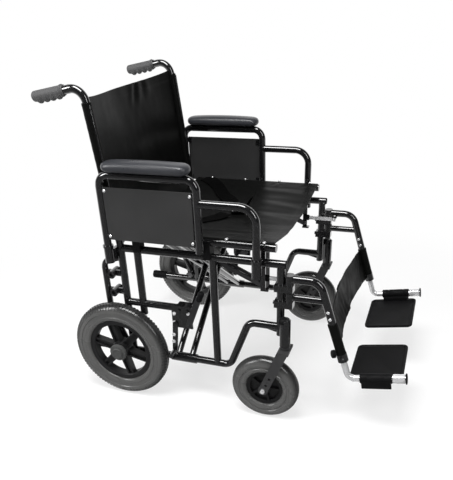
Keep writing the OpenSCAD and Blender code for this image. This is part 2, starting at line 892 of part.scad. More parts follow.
// half of the seat belt, laid on the seat from the rear corner to the buckle
module belt_half(end_y) {
  n = 8;
  e = frame_half - 14;
  t0 = 0.4;
  t1 = 3;
  up = [for (i = [0 : n]) [e * i / n, seat_top(e * i / n) + t1]];
  down = [for (i = [n : -1 : 0]) [e * i / n, seat_top(e * i / n) + t0]];
  u = dir([70, e], [258, end_y]);
  v = belt_w / 2 * [-u[1], u[0]];
  intersection() {
    rotate([90, 0, 90])
      linear_extrude(400)
        polygon(concat(up, down));
    translate([0, 0, seat_z - 60])
      linear_extrude(120)
        polygon([[70, e] + v, [70, e] - v, [258, end_y] - v, [258, end_y] + v]);
  }
}

// plastic buckle that lies on the seat between the two belt ends
module buckle() {
  translate([back_x + 258, 0, seat_top(36) + lay])
    difference() {
      translate([-14, -36, 0]) cube([46, 72, 11]);
      translate([-20, -29, -1]) cube([12, 58, 20]);
    }
}

// Named pieces

module back_cane_r() color(black) side(-1) cane();
module back_cane_l() color(black) side(1) cane();
module push_grip_r() color(rubber) side(-1) grip();
module push_grip_l() color(rubber) side(1) grip();
module side_rails_r() color(black) side(-1) rails();
module side_rails_l() color(black) side(1) rails();
module side_posts_r() color(black) side(-1) posts();
module side_posts_l() color(black) side(1) posts();
module frame_trim_r() color(plastic) side(-1) trim();
module frame_trim_l() color(plastic) side(1) trim();
module frame_bolts_r() color(plated) side(-1) bolts();
module frame_bolts_l() color(plated) side(1) bolts();
module lock_clamp_r() color(black) side(-1) clamp();
module lock_clamp_l() color(black) side(1) clamp();
module lock_lever_r() color(plated) side(-1) lever();
module lock_lever_l() color(plated) side(1) lever();
module lock_shoe_r() color(black) side(-1) shoe();
module lock_shoe_l() color(black) side(1) shoe();
module cross_a() color(black) side(1) cross(1, 4);
module cross_b() color(black) side(-1) cross(0, 4 + play);
module seat_rail_r() color(black) side(-1) seat_tube();
module seat_rail_l() color(black) side(1) seat_tube();
module cross_bolt() color(plated) side(1) pivot();
module rear_mag_r() color(black) rear_at(-1) mag();
module rear_mag_l() color(black) rear_at(1) mag();
module rear_tyre_r() color(rubber) rear_at(-1) tyre(rim_r, wheel_r, tyre_w);
module rear_tyre_l() color(rubber) rear_at(1) tyre(rim_r, wheel_r, tyre_w);
module caster_fork_r() color(black) side(-1) fork();
module caster_fork_l() color(black) side(1) fork();
module caster_rim_r() color(black) caster_at(-1) caster_centre();
module caster_rim_l() color(black) caster_at(1) caster_centre();
module caster_tyre_r() color(rubber) caster_at(-1) tyre(caster_rim, caster_r, caster_w);
module caster_tyre_l() color(rubber) caster_at(1) tyre(caster_rim, caster_r, caster_w);
module caster_bolt_r() color(plated) side(-1) caster_axle();
module caster_bolt_l() color(plated) side(1) caster_axle();
module arm_tube_r() color(black) side(-1) arm_frame();
module arm_tube_l() color(black) side(1) arm_frame();
module arm_pad_r() color(cloth_c) side(-1) pad();
module arm_pad_l() color(cloth_c) side(1) pad();
module arm_panel_r() color(plastic) side(-1) panel();
module arm_panel_l() color(plastic) side(1) panel();
module arm_screws_r() color(plated) side(-1) screws();
module arm_screws_l() color(plated) side(1) screws();
module hanger_r() color(black) side(-1) hanger();
module hanger_l() color(black) side(1) hanger();
module hanger_latch_r() color(plated) side(-1) latch();
module hanger_latch_l() color(plated) side(1) latch();
module foot_tube_r() color(plated) side(-1) foot_tube();
module foot_tube_l() color(plated) side(1) foot_tube();
module footplate_r() color(plastic) side(-1) plate();
module footplate_l() color(plastic) side(1) plate();
module seat_sling_r() color(cloth_c) side(-1) seat_half();
module seat_sling_l() color(cloth_c) side(1) seat_half();
module back_sling_r() color(cloth_c) side(-1) back_half();
module back_sling_l() color(cloth_c) side(1) back_half();
module calf_strap_r() color(cloth_c) side(-1) strap_half();
module calf_strap_l() color(cloth_c) side(1) strap_half();
module seat_belt_r() color(cloth_c) side(-1) belt_half(belt_end);
module seat_belt_l() color(cloth_c) side(1) belt_half(belt_end);
module belt_buckle() color(plastic) buckle();

back_cane_r();
back_cane_l();
push_grip_r();
push_grip_l();
side_rails_r();
side_rails_l();
side_posts_r();
side_posts_l();
frame_trim_r();
frame_trim_l();
frame_bolts_r();
frame_bolts_l();
lock_clamp_r();
lock_clamp_l();
lock_lever_r();
lock_lever_l();
lock_shoe_r();
lock_shoe_l();
cross_a();
cross_b();
seat_rail_r();
seat_rail_l();
cross_bolt();
rear_mag_r();
rear_mag_l();
rear_tyre_r();
rear_tyre_l();
caster_fork_r();
caster_fork_l();
caster_rim_r();
caster_rim_l();
caster_tyre_r();
caster_tyre_l();
caster_bolt_r();
caster_bolt_l();
arm_tube_r();
arm_tube_l();
arm_pad_r();
arm_pad_l();
arm_panel_r();
arm_panel_l();
arm_screws_r();
arm_screws_l();
hanger_r();
hanger_l();
hanger_latch_r();
hanger_latch_l();
foot_tube_r();
foot_tube_l();
footplate_r();
footplate_l();
seat_sling_r();
seat_sling_l();
back_sling_r();
back_sling_l();
calf_strap_r();
calf_strap_l();
seat_belt_r();
seat_belt_l();
belt_buckle();
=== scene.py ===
# %% [markdown]
# # A folding transport wheelchair, dressed in Blender
# The metal frame of the chair arrives as finished CAD solids. This lesson adds what CAD leaves plain: the
# paint, plating, rubber and vinyl, the slack cloth of seat and back, the pads, the tyres and the small fittings.
# Everything is in metres, +X is forward, +Y is the sitter's left and the floor is at Z = 0.

# %% Load the frame
import json
import math
import bpy
from mathutils import Matrix, Vector, noise


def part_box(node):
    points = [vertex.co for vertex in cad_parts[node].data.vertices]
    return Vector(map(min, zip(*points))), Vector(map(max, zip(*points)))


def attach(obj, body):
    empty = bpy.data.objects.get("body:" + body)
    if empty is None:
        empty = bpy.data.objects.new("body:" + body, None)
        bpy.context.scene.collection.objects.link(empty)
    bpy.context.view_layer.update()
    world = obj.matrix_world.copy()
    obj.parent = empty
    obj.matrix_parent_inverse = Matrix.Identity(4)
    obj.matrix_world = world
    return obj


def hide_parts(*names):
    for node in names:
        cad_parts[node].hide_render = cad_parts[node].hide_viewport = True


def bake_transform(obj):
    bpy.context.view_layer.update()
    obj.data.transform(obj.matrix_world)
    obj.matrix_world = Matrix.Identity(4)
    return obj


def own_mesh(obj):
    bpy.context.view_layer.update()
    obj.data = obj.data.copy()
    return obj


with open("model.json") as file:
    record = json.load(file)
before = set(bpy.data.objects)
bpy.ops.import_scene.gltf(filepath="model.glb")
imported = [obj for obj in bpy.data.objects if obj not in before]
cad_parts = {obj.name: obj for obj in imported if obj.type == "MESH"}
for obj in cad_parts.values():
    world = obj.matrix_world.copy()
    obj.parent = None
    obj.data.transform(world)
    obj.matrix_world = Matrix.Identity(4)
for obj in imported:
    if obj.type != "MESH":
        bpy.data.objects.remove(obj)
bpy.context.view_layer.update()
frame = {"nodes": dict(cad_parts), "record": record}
nodes = frame["nodes"]

# %% [markdown]
# ## Camera
# A product photo is matched by giving the camera the same place and the same lens. The numbers below come from
# fitting the wheels, rails and handles of the chair to the picture. The picture is a cut-out of a larger frame,
# so the lens is also shifted a little instead of turning the camera, which would bend the upright tubes apart.

# %% Camera at the picture's place
scene = bpy.context.scene
eye = Vector((0.515, -1.630, 1.101))
ahead = Vector((-0.32025, 0.79503, -0.51514)).normalized()
level = ahead.cross(Vector((0, 0, 1))).normalized()
above = level.cross(ahead)
roll = math.radians(-3.1)
right = level * math.cos(roll) + above * math.sin(roll)
up = above * math.cos(roll) - level * math.sin(roll)
SENSOR_MM, FOCAL_PIXELS, PICTURE_PIXELS = 36, 584.18, 480
lens = bpy.data.cameras.new("chair_camera")
lens.sensor_width = SENSOR_MM
lens.lens = FOCAL_PIXELS / PICTURE_PIXELS * SENSOR_MM
lens.shift_x = 0.0245
lens.shift_y = 0.2044
camera = bpy.data.objects.new("chair_camera", lens)
scene.collection.objects.link(camera)
camera.matrix_world = Matrix.Translation(eye) @ Matrix((right, up, -ahead)).transposed().to_4x4()
scene.camera = camera
scene.view_settings.view_transform = "Standard"
print("lens", round(lens.lens, 2), "mm, shift", lens.shift_x, lens.shift_y)

# %% [markdown]
# ## Floor, world and lamps
# The chair stands in front of a white backdrop. The world is white for the camera, and glossy surfaces see that
# white backdrop too, behind the chair and along the floor, while the side of the room where the camera stands is
# dark, as in a real studio. That contrast is what makes black paint look black. Three soft boxes draw the bright
# lines on the tubes. The floor is a white glow far off and, near the chair, a third of it is real white paper that
# takes the chair's faint shadow; in reflections it falls off toward the camera like the room does.

# %% Node tools and the world
WHITE = (1, 1, 1, 1)


def deselect():
    if bpy.context.mode != "OBJECT":
        bpy.ops.object.mode_set(mode="OBJECT")
    bpy.ops.object.select_all(action="DESELECT")


def fill(tree, made, values):
    """Sets a node's inputs by name or number: a socket is linked, anything else is a plain value."""
    for key, value in values.items():
        if isinstance(value, bpy.types.NodeSocket):
            tree.links.new(value, made.inputs[key])
        else:
            made.inputs[key].default_value = value


def node(tree, kind, values=(), **settings):
    made = tree.nodes.new(kind)
    for key, value in settings.items():
        setattr(made, key, value)
    fill(tree, made, dict(values))
    return made


def ramp(tree, value, start, end, low, high, how="SMOOTHSTEP"):
    """Carries a value that runs from start to end onto low to high."""
    made = node(tree, "ShaderNodeMapRange", interpolation_type=how)
    fill(tree, made, {"Value": value, "From Min": start, "From Max": end, "To Min": low, "To Max": high})
    return made.outputs["Result"]


TO_BACKDROP = (-0.36, 0.88, -0.30)
ROOM_LIGHT = 0.4
world = bpy.data.worlds.new("white_studio")
scene.world = world
world.use_nodes = True
wt = world.node_tree
wt.nodes.clear()
path = node(wt, "ShaderNodeLightPath").outputs
where = node(wt, "ShaderNodeTexCoord").outputs["Generated"]
seen = node(wt, "ShaderNodeMath", {0: path["Is Camera Ray"], 1: path["Is Transmission Ray"]}, operation="MAXIMUM")
behind = node(wt, "ShaderNodeVectorMath", {0: where, 1: TO_BACKDROP}, operation="DOT_PRODUCT").outputs["Value"]
glow = node(wt, "ShaderNodeBackground", {"Color": WHITE, "Strength": 1.0})
dim = node(wt, "ShaderNodeBackground", {"Color": WHITE, "Strength": ROOM_LIGHT})
room = node(wt, "ShaderNodeBackground", {"Color": ramp(wt, behind, 0.05, 0.75, 0.03, 1.0), "Strength": 1.0})
lit = node(wt, "ShaderNodeMixShader", {0: path["Is Glossy Ray"], 1: dim.outputs[0], 2: room.outputs[0]})
both = node(wt, "ShaderNodeMixShader", {0: seen.outputs[0], 1: lit.outputs[0], 2: glow.outputs[0]})
node(wt, "ShaderNodeOutputWorld", {"Surface": both.outputs[0]})
print("world nodes:", len(wt.nodes))

# %% Floor
ACROSS_FLOOR = (-0.38, 0.92, 0)
FLOOR_SIZE = 14
PAPER_WHITE = (0.93, 0.93, 0.93, 1)
deselect()
bpy.ops.mesh.primitive_plane_add(size=FLOOR_SIZE, location=(0, 0, -0.0005))
floor = bpy.context.active_object
floor.name = "studio_floor"
paper = bpy.data.materials.new("studio_paper")
paper.use_nodes = True
pt = paper.node_tree
pt.nodes.clear()
path = node(pt, "ShaderNodeLightPath").outputs
spot = node(pt, "ShaderNodeTexCoord").outputs["Object"]
away = node(pt, "ShaderNodeVectorMath", {0: spot}, operation="LENGTH").outputs["Value"]
ahead_of = node(pt, "ShaderNodeVectorMath", {0: spot, 1: ACROSS_FLOOR}, operation="DOT_PRODUCT").outputs["Value"]
darker = ramp(pt, ahead_of, -0.55, 0.6, -0.82, 0.0)
mirrored = node(pt, "ShaderNodeMath", {0: path["Is Glossy Ray"], 1: darker, 2: 1.0}, operation="MULTIPLY_ADD")
white = node(pt, "ShaderNodeEmission", {"Color": WHITE, "Strength": mirrored.outputs[0]})
sheet_white = node(pt, "ShaderNodeBsdfDiffuse", {"Color": PAPER_WHITE})
seen = node(pt, "ShaderNodeMath", {0: path["Is Camera Ray"], 1: path["Is Transmission Ray"]}, operation="MAXIMUM")
glowing = ramp(pt, away, 0.7, 1.5, 0.66, 1.0)
share = node(pt, "ShaderNodeMath", {0: seen.outputs[0], 1: glowing}, operation="MULTIPLY")
either = node(pt, "ShaderNodeMath", {0: share.outputs[0], 1: path["Is Glossy Ray"]}, operation="MAXIMUM")
mixed = node(pt, "ShaderNodeMixShader", {0: either.outputs[0], 1: sheet_white.outputs[0], 2: white.outputs[0]})
node(pt, "ShaderNodeOutputMaterial", {"Surface": mixed.outputs[0]})
floor.data.materials.append(paper)
print("floor:", tuple(floor.dimensions))

# %% Soft boxes
def soft_box(name, place, aim, size_x, size_y, watts):
    data = bpy.data.lights.new(name, "AREA")
    data.shape = "RECTANGLE"
    data.size = size_x
    data.size_y = size_y
    data.energy = watts
    lamp = bpy.data.objects.new(name, data)
    scene.collection.objects.link(lamp)
    lamp.location = place
    lamp.rotation_euler = (Vector(aim) - Vector(place)).to_track_quat("-Z", "Y").to_euler()


soft_box("top_box", (-0.2, -0.8, 2.7), (0, 0, 0.4), 1.5, 0.9, 62)
soft_box("front_box", (2.0, -1.3, 1.9), (0, 0, 0.5), 0.4, 1.6, 19)
soft_box("side_box", (-1.9, -1.7, 1.8), (0, 0, 0.5), 0.45, 1.5, 40)

# %% [markdown]
# ## Shared surface effects
# Real surfaces are never one flat value. Three small node groups give the variation that several finishes of
# this chair share: a fine skin for paint and plating, a pebbled grain for moulded plastic, rubber and vinyl, and
# a woven band for webbing. Each group only puts out numbers; the shader itself stays in the material, where its
# plain values are set by hand.

# %% Node groups: paint skin, pebble grain, webbing weave
def new_group(name, fine, fine_scale, cloud_scale, cloud_detail):
    """A group with a fine scale and a cloud scale; the cloud is its Tone, and its Height is still to be linked."""
    group = bpy.data.node_groups.new(name, "ShaderNodeTree")
    for socket, value in ((fine, fine_scale), ("Cloud Scale", cloud_scale)):
        made = group.interface.new_socket(name=socket, in_out="INPUT", socket_type="NodeSocketFloat")
        made.default_value = value
    for socket in ("Height", "Tone"):
        group.interface.new_socket(name=socket, in_out="OUTPUT", socket_type="NodeSocketFloat")
    scales = node(group, "NodeGroupInput").outputs
    place = node(group, "ShaderNodeTexCoord").outputs
    cloud = node(group, "ShaderNodeTexNoise")
    fill(group, cloud, {"Vector": place["Object"], "Scale": scales["Cloud Scale"], "Detail": cloud_detail})
    out = node(group, "NodeGroupOutput", {"Tone": cloud.outputs["Fac"]})
    return group, scales[fine], place, out


paint_skin, scale, place, out = new_group("paint_skin", "Peel Scale", 220.0, 9.0, 4)
peel = node(paint_skin, "ShaderNodeTexNoise", {"Vector": place["Object"], "Scale": scale, "Detail": 2})
fill(paint_skin, out, {"Height": peel.outputs["Fac"]})

pebble_grain, scale, place, out = new_group("pebble_grain", "Pebble Scale", 700.0, 14.0, 5)
cells = node(pebble_grain, "ShaderNodeTexVoronoi", feature="SMOOTH_F1")
fill(pebble_grain, cells, {"Vector": place["Object"], "Scale": scale})
bulge = node(pebble_grain, "ShaderNodeMath", {0: 1.0, 1: cells.outputs["Distance"]}, operation="SUBTRACT")
fill(pebble_grain, out, {"Height": bulge.outputs[0]})

band_weave, scale, place, out = new_group("band_weave", "Threads", 60.0, 20.0, 2)
threads = {"Vector": place["UV"], "Scale": scale}
along = node(band_weave, "ShaderNodeTexWave", threads, bands_direction="X").outputs["Fac"]
across = node(band_weave, "ShaderNodeTexWave", threads, bands_direction="Y").outputs["Fac"]
over = node(band_weave, "ShaderNodeMath", {0: along, 1: across}, operation="MULTIPLY")
fill(band_weave, out, {"Height": over.outputs[0]})
print("groups:", [g.name for g in bpy.data.node_groups])

# %% [markdown]
# ## Finishes
# Each finish is one Principled shader. The group's Tone drifts the colour and the roughness a little over the
# surface, and its Height makes the fine bump. Gloss, metal and coat are plain numbers on the shader, because
# they are the same all over. The tyres' colour also turns darker where a value on their mesh marks the tread.

# %% One function for all finishes
COAT_ROUGHNESS = 0.08


def finish(name, dark, light, rough, group, settings, bump, metallic=0.0, specular=0.5, coat=0.0):
    """A material: colour and roughness drift with the group's Tone, bump is (strength, distance) for its Height."""
    mat = bpy.data.materials.new(name)
    mat.use_nodes = True
    tree = mat.node_tree
    skin = node(tree, "ShaderNodeGroup", settings, node_tree=group)
    tone, height = skin.outputs["Tone"], skin.outputs["Height"]
    tint = node(tree, "ShaderNodeMix", {0: tone, 6: (*dark, 1), 7: (*light, 1)}, data_type="RGBA")
    relief = node(tree, "ShaderNodeBump", {"Strength": bump[0], "Distance": bump[1], "Height": height})
    fill(tree, tree.nodes["Principled BSDF"], {
        "Base Color": tint.outputs[2], "Roughness": ramp(tree, tone, 0.3, 0.7, *rough, "LINEAR"),
        "Metallic": metallic, "Specular IOR Level": specular, "Coat Weight": coat,
        "Coat Roughness": COAT_ROUGHNESS, "Normal": relief.outputs["Normal"]})
    return mat


print("coat roughness:", COAT_ROUGHNESS)

# %% The finishes
black_paint = finish("black_paint", (0.004, 0.004, 0.0045), (0.008, 0.008, 0.0085), (0.09, 0.16), paint_skin,
                     {"Peel Scale": 260.0}, (0.05, 0.0004), specular=0.8, coat=0.8)
grey_paint = finish("grey_paint", (0.026, 0.026, 0.027), (0.040, 0.040, 0.041), (0.36, 0.5), paint_skin,
                    {"Peel Scale": 420.0}, (0.12, 0.0004), specular=0.4)
plating = finish("bright_plating", (0.80, 0.80, 0.81), (0.93, 0.93, 0.94), (0.16, 0.28), paint_skin,
                 {"Peel Scale": 60.0}, (0.03, 0.0004), metallic=0.6)
grip_rubber = finish("grip_rubber", (0.050, 0.050, 0.051), (0.074, 0.074, 0.075), (0.55, 0.72), pebble_grain,
                     {"Pebble Scale": 620.0}, (0.25, 0.0006), specular=0.35)
tyre_rubber = finish("tyre_rubber", (0.062, 0.062, 0.061), (0.094, 0.094, 0.092), (0.18, 0.32), pebble_grain,
                     {"Pebble Scale": 520.0, "Cloud Scale": 7.0}, (0.06, 0.0005), specular=0.5)
wheel_plastic = finish("wheel_plastic", (0.006, 0.006, 0.0065), (0.011, 0.011, 0.0115), (0.34, 0.46), pebble_grain,
                       {"Pebble Scale": 900.0}, (0.1, 0.0004), specular=0.4)
black_plastic = finish("black_plastic", (0.004, 0.004, 0.0044), (0.008, 0.008, 0.0084), (0.42, 0.56), pebble_grain,
                       {"Pebble Scale": 800.0}, (0.22, 0.0005), specular=0.07)
panel_plastic = finish("panel_plastic", (0.022, 0.022, 0.0222), (0.032, 0.032, 0.0322), (0.46, 0.58), pebble_grain,
                       {"Pebble Scale": 850.0, "Cloud Scale": 10.0}, (0.2, 0.0005), specular=0.28)
pad_skin = finish("pad_skin", (0.022, 0.023, 0.027), (0.033, 0.034, 0.039), (0.26, 0.36), pebble_grain,
                  {"Pebble Scale": 1100.0, "Cloud Scale": 16.0}, (0.14, 0.0004), specular=0.45)
sling_vinyl = finish("sling_vinyl", (0.0026, 0.0027, 0.0026), (0.0048, 0.0049, 0.0047), (0.3, 0.44), pebble_grain,
                     {"Pebble Scale": 760.0, "Cloud Scale": 11.0}, (0.16, 0.0005), specular=0.08)
webbing = finish("black_webbing", (0.0012, 0.0012, 0.0012), (0.0026, 0.0026, 0.0026), (0.6, 0.75), band_weave,
                 {"Threads": 260.0}, (0.35, 0.0006), specular=0.03)
strap_vinyl = finish("strap_vinyl", (0.0032, 0.0033, 0.003), (0.0058, 0.006, 0.0055), (0.36, 0.5), pebble_grain,
                     {"Pebble Scale": 640.0}, (0.2, 0.0005), specular=0.06)
hub_grey = finish("hub_grey", (0.040, 0.041, 0.040), (0.062, 0.063, 0.062), (0.4, 0.5), pebble_grain,
                  {"Pebble Scale": 900.0}, (0.12, 0.0004), specular=0.4)
dull_zinc = finish("dull_zinc", (0.10, 0.10, 0.105), (0.19, 0.19, 0.195), (0.3, 0.45), paint_skin,
                   {"Peel Scale": 90.0, "Cloud Scale": 30.0}, (0.06, 0.0004), metallic=1.0)
print("materials:", len(bpy.data.materials))

# %% Darker tread on the tyre's finish
TREAD_BLACK = (0.020, 0.020, 0.020, 1)
rubber_tree = tyre_rubber.node_tree
rubber_skin = rubber_tree.nodes["Principled BSDF"]
tread_mark = node(rubber_tree, "ShaderNodeAttribute", attribute_name="tread")
tread_tone = node(rubber_tree, "ShaderNodeMix", data_type="RGBA")
sidewall = rubber_skin.inputs["Base Color"].links[0].from_socket
fill(rubber_tree, tread_tone, {0: tread_mark.outputs["Fac"], 6: sidewall, 7: TREAD_BLACK})
fill(rubber_tree, rubber_skin, {"Base Color": tread_tone.outputs[2]})
print("tread marked by:", tread_mark.attribute_name)

# %% Dress the CAD solids
slot_finish = {
    "frame_black": black_paint, "fork_grey": grey_paint, "plated_steel": plating, "grip_rubber": grip_rubber,
    "tyre_grey": tyre_rubber, "wheel_plastic": wheel_plastic, "black_plastic": black_plastic,
    "panel_plastic": panel_plastic, "pad_vinyl": pad_skin, "sling_vinyl": sling_vinyl, "webbing": webbing,
}
for part in frame["record"]["subparts"]:
    for place in nodes[part["node"]].material_slots:
        place.material = slot_finish[part["material_slot"]]
for name in ("frame_bolts_r", "frame_bolts_l", "lock_lever_r", "lock_lever_l"):
    nodes[name].material_slots[0].material = dull_zinc
print("finishes:", len(slot_finish))

# %% [markdown]
# ## Hand tools
# Modelling by hand is a chain of the same few moves: take one object, open it, pick some faces, edges or points,
# work on them, close it again. These helpers wrap that chain. Picking is done by place or by normal, never by an
# index, so a step keeps working when the mesh before it changes. A copy always gets its own mesh, and a mirrored
# copy has its faces turned round again.

# %% Helpers for edit mode and modifiers
SIDES = {"r": Matrix.Identity(4), "l": Matrix.Scale(-1, 4, (0, 1, 0))}
SIDE_BODY = {"r": "right_side", "l": "left_side"}
FRAME_HALF = 0.266


def hold(obj):
    deselect()
    obj.select_set(True)
    bpy.context.view_layer.objects.active = obj
    return obj


def open_mesh(obj, kind="FACE", pick=None):
    hold(obj)
    bpy.ops.object.mode_set(mode="EDIT")
    bpy.context.tool_settings.mesh_select_mode = (kind == "VERT", kind == "EDGE", kind == "FACE")
    bpy.ops.mesh.select_all(action="DESELECT")
    bpy.ops.object.mode_set(mode="OBJECT")
    mesh = obj.data
    if pick and kind == "FACE":
        for face in mesh.polygons:
            face.select = bool(pick(face.center, face.normal))
    elif pick and kind == "EDGE":
        for edge in mesh.edges:
            edge.select = bool(pick(*[mesh.vertices[i].co for i in edge.vertices]))
    elif pick:
        for v in mesh.vertices:
            v.select = bool(pick(v.co))
    bpy.ops.object.mode_set(mode="EDIT")


def open_whole(obj):
    open_mesh(obj)
    bpy.ops.mesh.select_all(action="SELECT")


def close_mesh():
    bpy.ops.object.mode_set(mode="OBJECT")


def cut_faces(obj, pick):
    open_mesh(obj, "FACE", pick)
    bpy.ops.mesh.delete(type="FACE")
    close_mesh()


def clean(obj, distance=0.00002):
    open_whole(obj)
    bpy.ops.mesh.remove_doubles(threshold=distance)
    bpy.ops.mesh.normals_make_consistent(inside=False)
    close_mesh()


def modify(obj, kind, **values):
    hold(obj)
    step = obj.modifiers.new(kind.lower(), kind)
    for key, value in values.items():
        setattr(step, key, value)
    bpy.ops.object.modifier_apply(modifier=step.name)


def smooth(obj, angle=35):
    hold(obj)
    bpy.ops.object.shade_smooth_by_angle(angle=math.radians(angle))


print("edit tools ready")

# %% Helpers for copies and first shapes
def copy_to(obj, name, matrix):
    twin = obj.copy()
    twin.data = obj.data.copy()
    twin.name = name
    twin.data.name = name
    scene.collection.objects.link(twin)
    twin.data.transform(matrix)
    if matrix.determinant() < 0:
        twin.data.flip_normals()
    return twin


def dress(obj, material):
    obj.data.materials.clear()
    obj.data.materials.append(material)


def mount(model, name, s, matrix, material, slot_name, body):
    """A copy of a model drawn for the right side, on side s: put in its place, dressed and set to ride on a body."""
    piece = copy_to(model, name, SIDES[s] @ matrix)
    dress(piece, material)
    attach(piece, body)
    return piece


def turned(name, steps, sides, angle=None):
    """A turned piece along +Z: a disc drawn out step by step, each step a (height, radius); smooth up to an angle."""
    deselect()
    bpy.ops.mesh.primitive_circle_add(vertices=sides, radius=steps[0][1], fill_type="NGON", location=(0, 0, 0))
    made = bpy.context.active_object
    made.name = name
    open_whole(made)
    bpy.ops.transform.translate(value=(0, 0, steps[0][0]))
    for (z0, r0), (z1, r1) in zip(steps, steps[1:]):
        bpy.ops.mesh.extrude_region_move(TRANSFORM_OT_translate={"value": (0, 0, z1 - z0)})
        if abs(r1 - r0) > 1e-7:
            bpy.ops.transform.resize(value=(r1 / r0, r1 / r0, 1), center_override=(0, 0, z1))
    close_mesh()
    clean(made)
    if angle:
        smooth(made, angle)
    return made


def open_ends(obj):
    """Takes the two end discs off a turned piece, which leaves a tube."""
    cut_faces(obj, lambda c, n: abs(n.z) > 0.95 and math.hypot(c.x, c.y) < 0.004)


def round_edges(obj, pick, offset, segments):
    open_mesh(obj, "EDGE", pick)
    bpy.ops.mesh.bevel(offset=offset, segments=segments, profile=0.5)
    close_mesh()


def sink(obj, pick, border, lip, depth):
    """Leaves a border round the picked faces and sinks the rest behind a sloped lip."""
    open_mesh(obj, "FACE", pick)
    bpy.ops.mesh.inset(thickness=border, depth=0)
    bpy.ops.mesh.inset(thickness=lip, depth=-depth)
    close_mesh()


def block(size, place=(0, 0, 0), rounding=None):
    """A block of a size at a place, its edges rounded by (offset, segments) if asked."""
    deselect()
    bpy.ops.mesh.primitive_cube_add(size=1, location=(0, 0, 0))
    made = bpy.context.active_object
    open_whole(made)
    bpy.ops.transform.resize(value=size, center_override=(0, 0, 0))
    bpy.ops.transform.translate(value=place)
    if rounding:
        bpy.ops.mesh.bevel(offset=rounding[0], segments=rounding[1])
    close_mesh()
    return made


def grid(name, long_way, short_way):
    """A flat grid from -1 to 1 in X and Y, to be moved point by point."""
    deselect()
    bpy.ops.mesh.primitive_grid_add(x_subdivisions=long_way, y_subdivisions=short_way, size=2, location=(0, 0, 0))
    made = bpy.context.active_object
    made.name = name
    return made


def axes(origin, z_axis, x_hint=(0, 0, 1)):
    """A matrix that carries local +Z onto z_axis, with local +X as near x_hint as it goes."""
    z = Vector(z_axis).normalized()
    x = Vector(x_hint) - z * Vector(x_hint).dot(z)
    x.normalize()
    y = z.cross(x)
    return Matrix.Translation(origin) @ Matrix((x, y, z)).transposed().to_4x4()


print("hand tools ready")

# %% [markdown]
# ## Push grips
# The attendant holds two moulded rubber grips, pushed over the ends of the handle tubes. Each has a closed round
# end, four finger ridges underneath and a low collar where the tube comes out. The grip is drawn out from a
# disc ring by ring, and the ridges are made by pulling the underside down in soft steps with proportional
# editing, as one would with a brush.

# %% One grip along Z, then both in place
GRIP_END = Vector((-0.5052, -FRAME_HALF, 0.8766))
GRIP_WAY = Vector((math.cos(math.radians(10)), 0, math.sin(math.radians(10))))
RIDGES, FIRST_RIDGE, RIDGE_STEP, RIDGE_HIGH = 4, 0.018, 0.0195, 0.0062
rings = [(-0.0032, 0.003), (-0.0030, 0.0075), (-0.0018, 0.0108), (0.0006, 0.0130), (0.0035, 0.0137)]
rings += [(0.0035 + 0.0022 * k, 0.0137) for k in range(1, 38)]
rings += [(0.0858, 0.0139), (0.0866, 0.0150), (0.0880, 0.0155), (0.0905, 0.0155), (0.0916, 0.0148)]
rings += [(0.0920, 0.0136), (0.0962, 0.0131), (0.0968, 0.0124), (0.0968, 0.0114)]
grip = turned("push_grip", rings, 36)
for k in range(RIDGES):
    middle = FIRST_RIDGE + RIDGE_STEP * k
    open_mesh(grip, "VERT", lambda p, m=middle: p.x < -0.0098 and abs(p.z - m) < 0.0025)
    bpy.ops.transform.translate(value=(-RIDGE_HIGH, 0, 0), use_proportional_edit=True, proportional_size=0.0105,
                                proportional_edit_falloff="SMOOTH", use_proportional_connected=False)
    close_mesh()
cut_faces(grip, lambda c, n: n.z > 0.9 and c.z > 0.096 and math.hypot(c.x, c.y) < 0.004)
smooth(grip, 50)
for s in SIDES:
    piece = mount(grip, "grip_" + s, s, axes(GRIP_END, GRIP_WAY), grip_rubber, "grip_rubber", SIDE_BODY[s])
    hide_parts("push_grip_" + s)
print("grips:", len(grip.data.polygons), "faces each")
bpy.data.objects.remove(grip)

# %% [markdown]
# ## Tyres
# The rear tyres are grey solid rubber with a round shoulder and short cross bars of tread; the caster tyres are
# plain and fatter. A tyre is the textbook case for Spin: a flat profile is shaped once and swept round the axle.
# The tread is then picked by place on the spun mesh, every other strip, and pushed out a little, and the flat
# of each sidewall is inset and sunk to leave a bead at the rim. A value stored on the mesh marks the running
# surface, and the finish is darker there than on the sidewalls.

# %% Profile and spin
REAR_HUB = Vector((-0.328, -0.306, 0.156))
CASTER_HUB = Vector((0.128, -0.295, 0.100))


def spun_tyre(name, rim, radius, width, turns):
    deselect()
    bpy.ops.mesh.primitive_plane_add(size=1, location=(0, 0, 0))
    made = bpy.context.active_object
    made.name = name
    open_whole(made)
    bpy.ops.transform.resize(value=(radius - rim, width, 1), center_override=(0, 0, 0))
    bpy.ops.transform.translate(value=((radius + rim) / 2, 0, 0))
    close_mesh()
    for pick, share, steps in ((lambda p: p.x > radius - 0.001, 0.95, 8), (lambda p: p.x < rim + 0.001, 0.5, 5)):
        open_mesh(made, "VERT", pick)
        bpy.ops.mesh.bevel(offset=width / 2 * share, segments=steps, affect="VERTICES", profile=0.5)
        close_mesh()
    open_whole(made)
    bpy.ops.mesh.spin(steps=turns, angle=math.tau, center=(0, 0, 0), axis=(0, 1, 0), dupli=False)
    close_mesh()
    cut_faces(made, lambda c, n: abs(n.dot(Vector((-c.z, 0, c.x)).normalized())) > 0.9)
    clean(made)
    return made


print("hubs:", tuple(REAR_HUB), tuple(CASTER_HUB))

# %% Tread, sidewalls and copies
REAR_TURNS, SMALL_TURNS = 180, 72
TREAD_FROM, TREAD_HIGH = 0.1395, 0.0018
TREAD_INNER, TREAD_OUTER = 0.0040, 0.0195


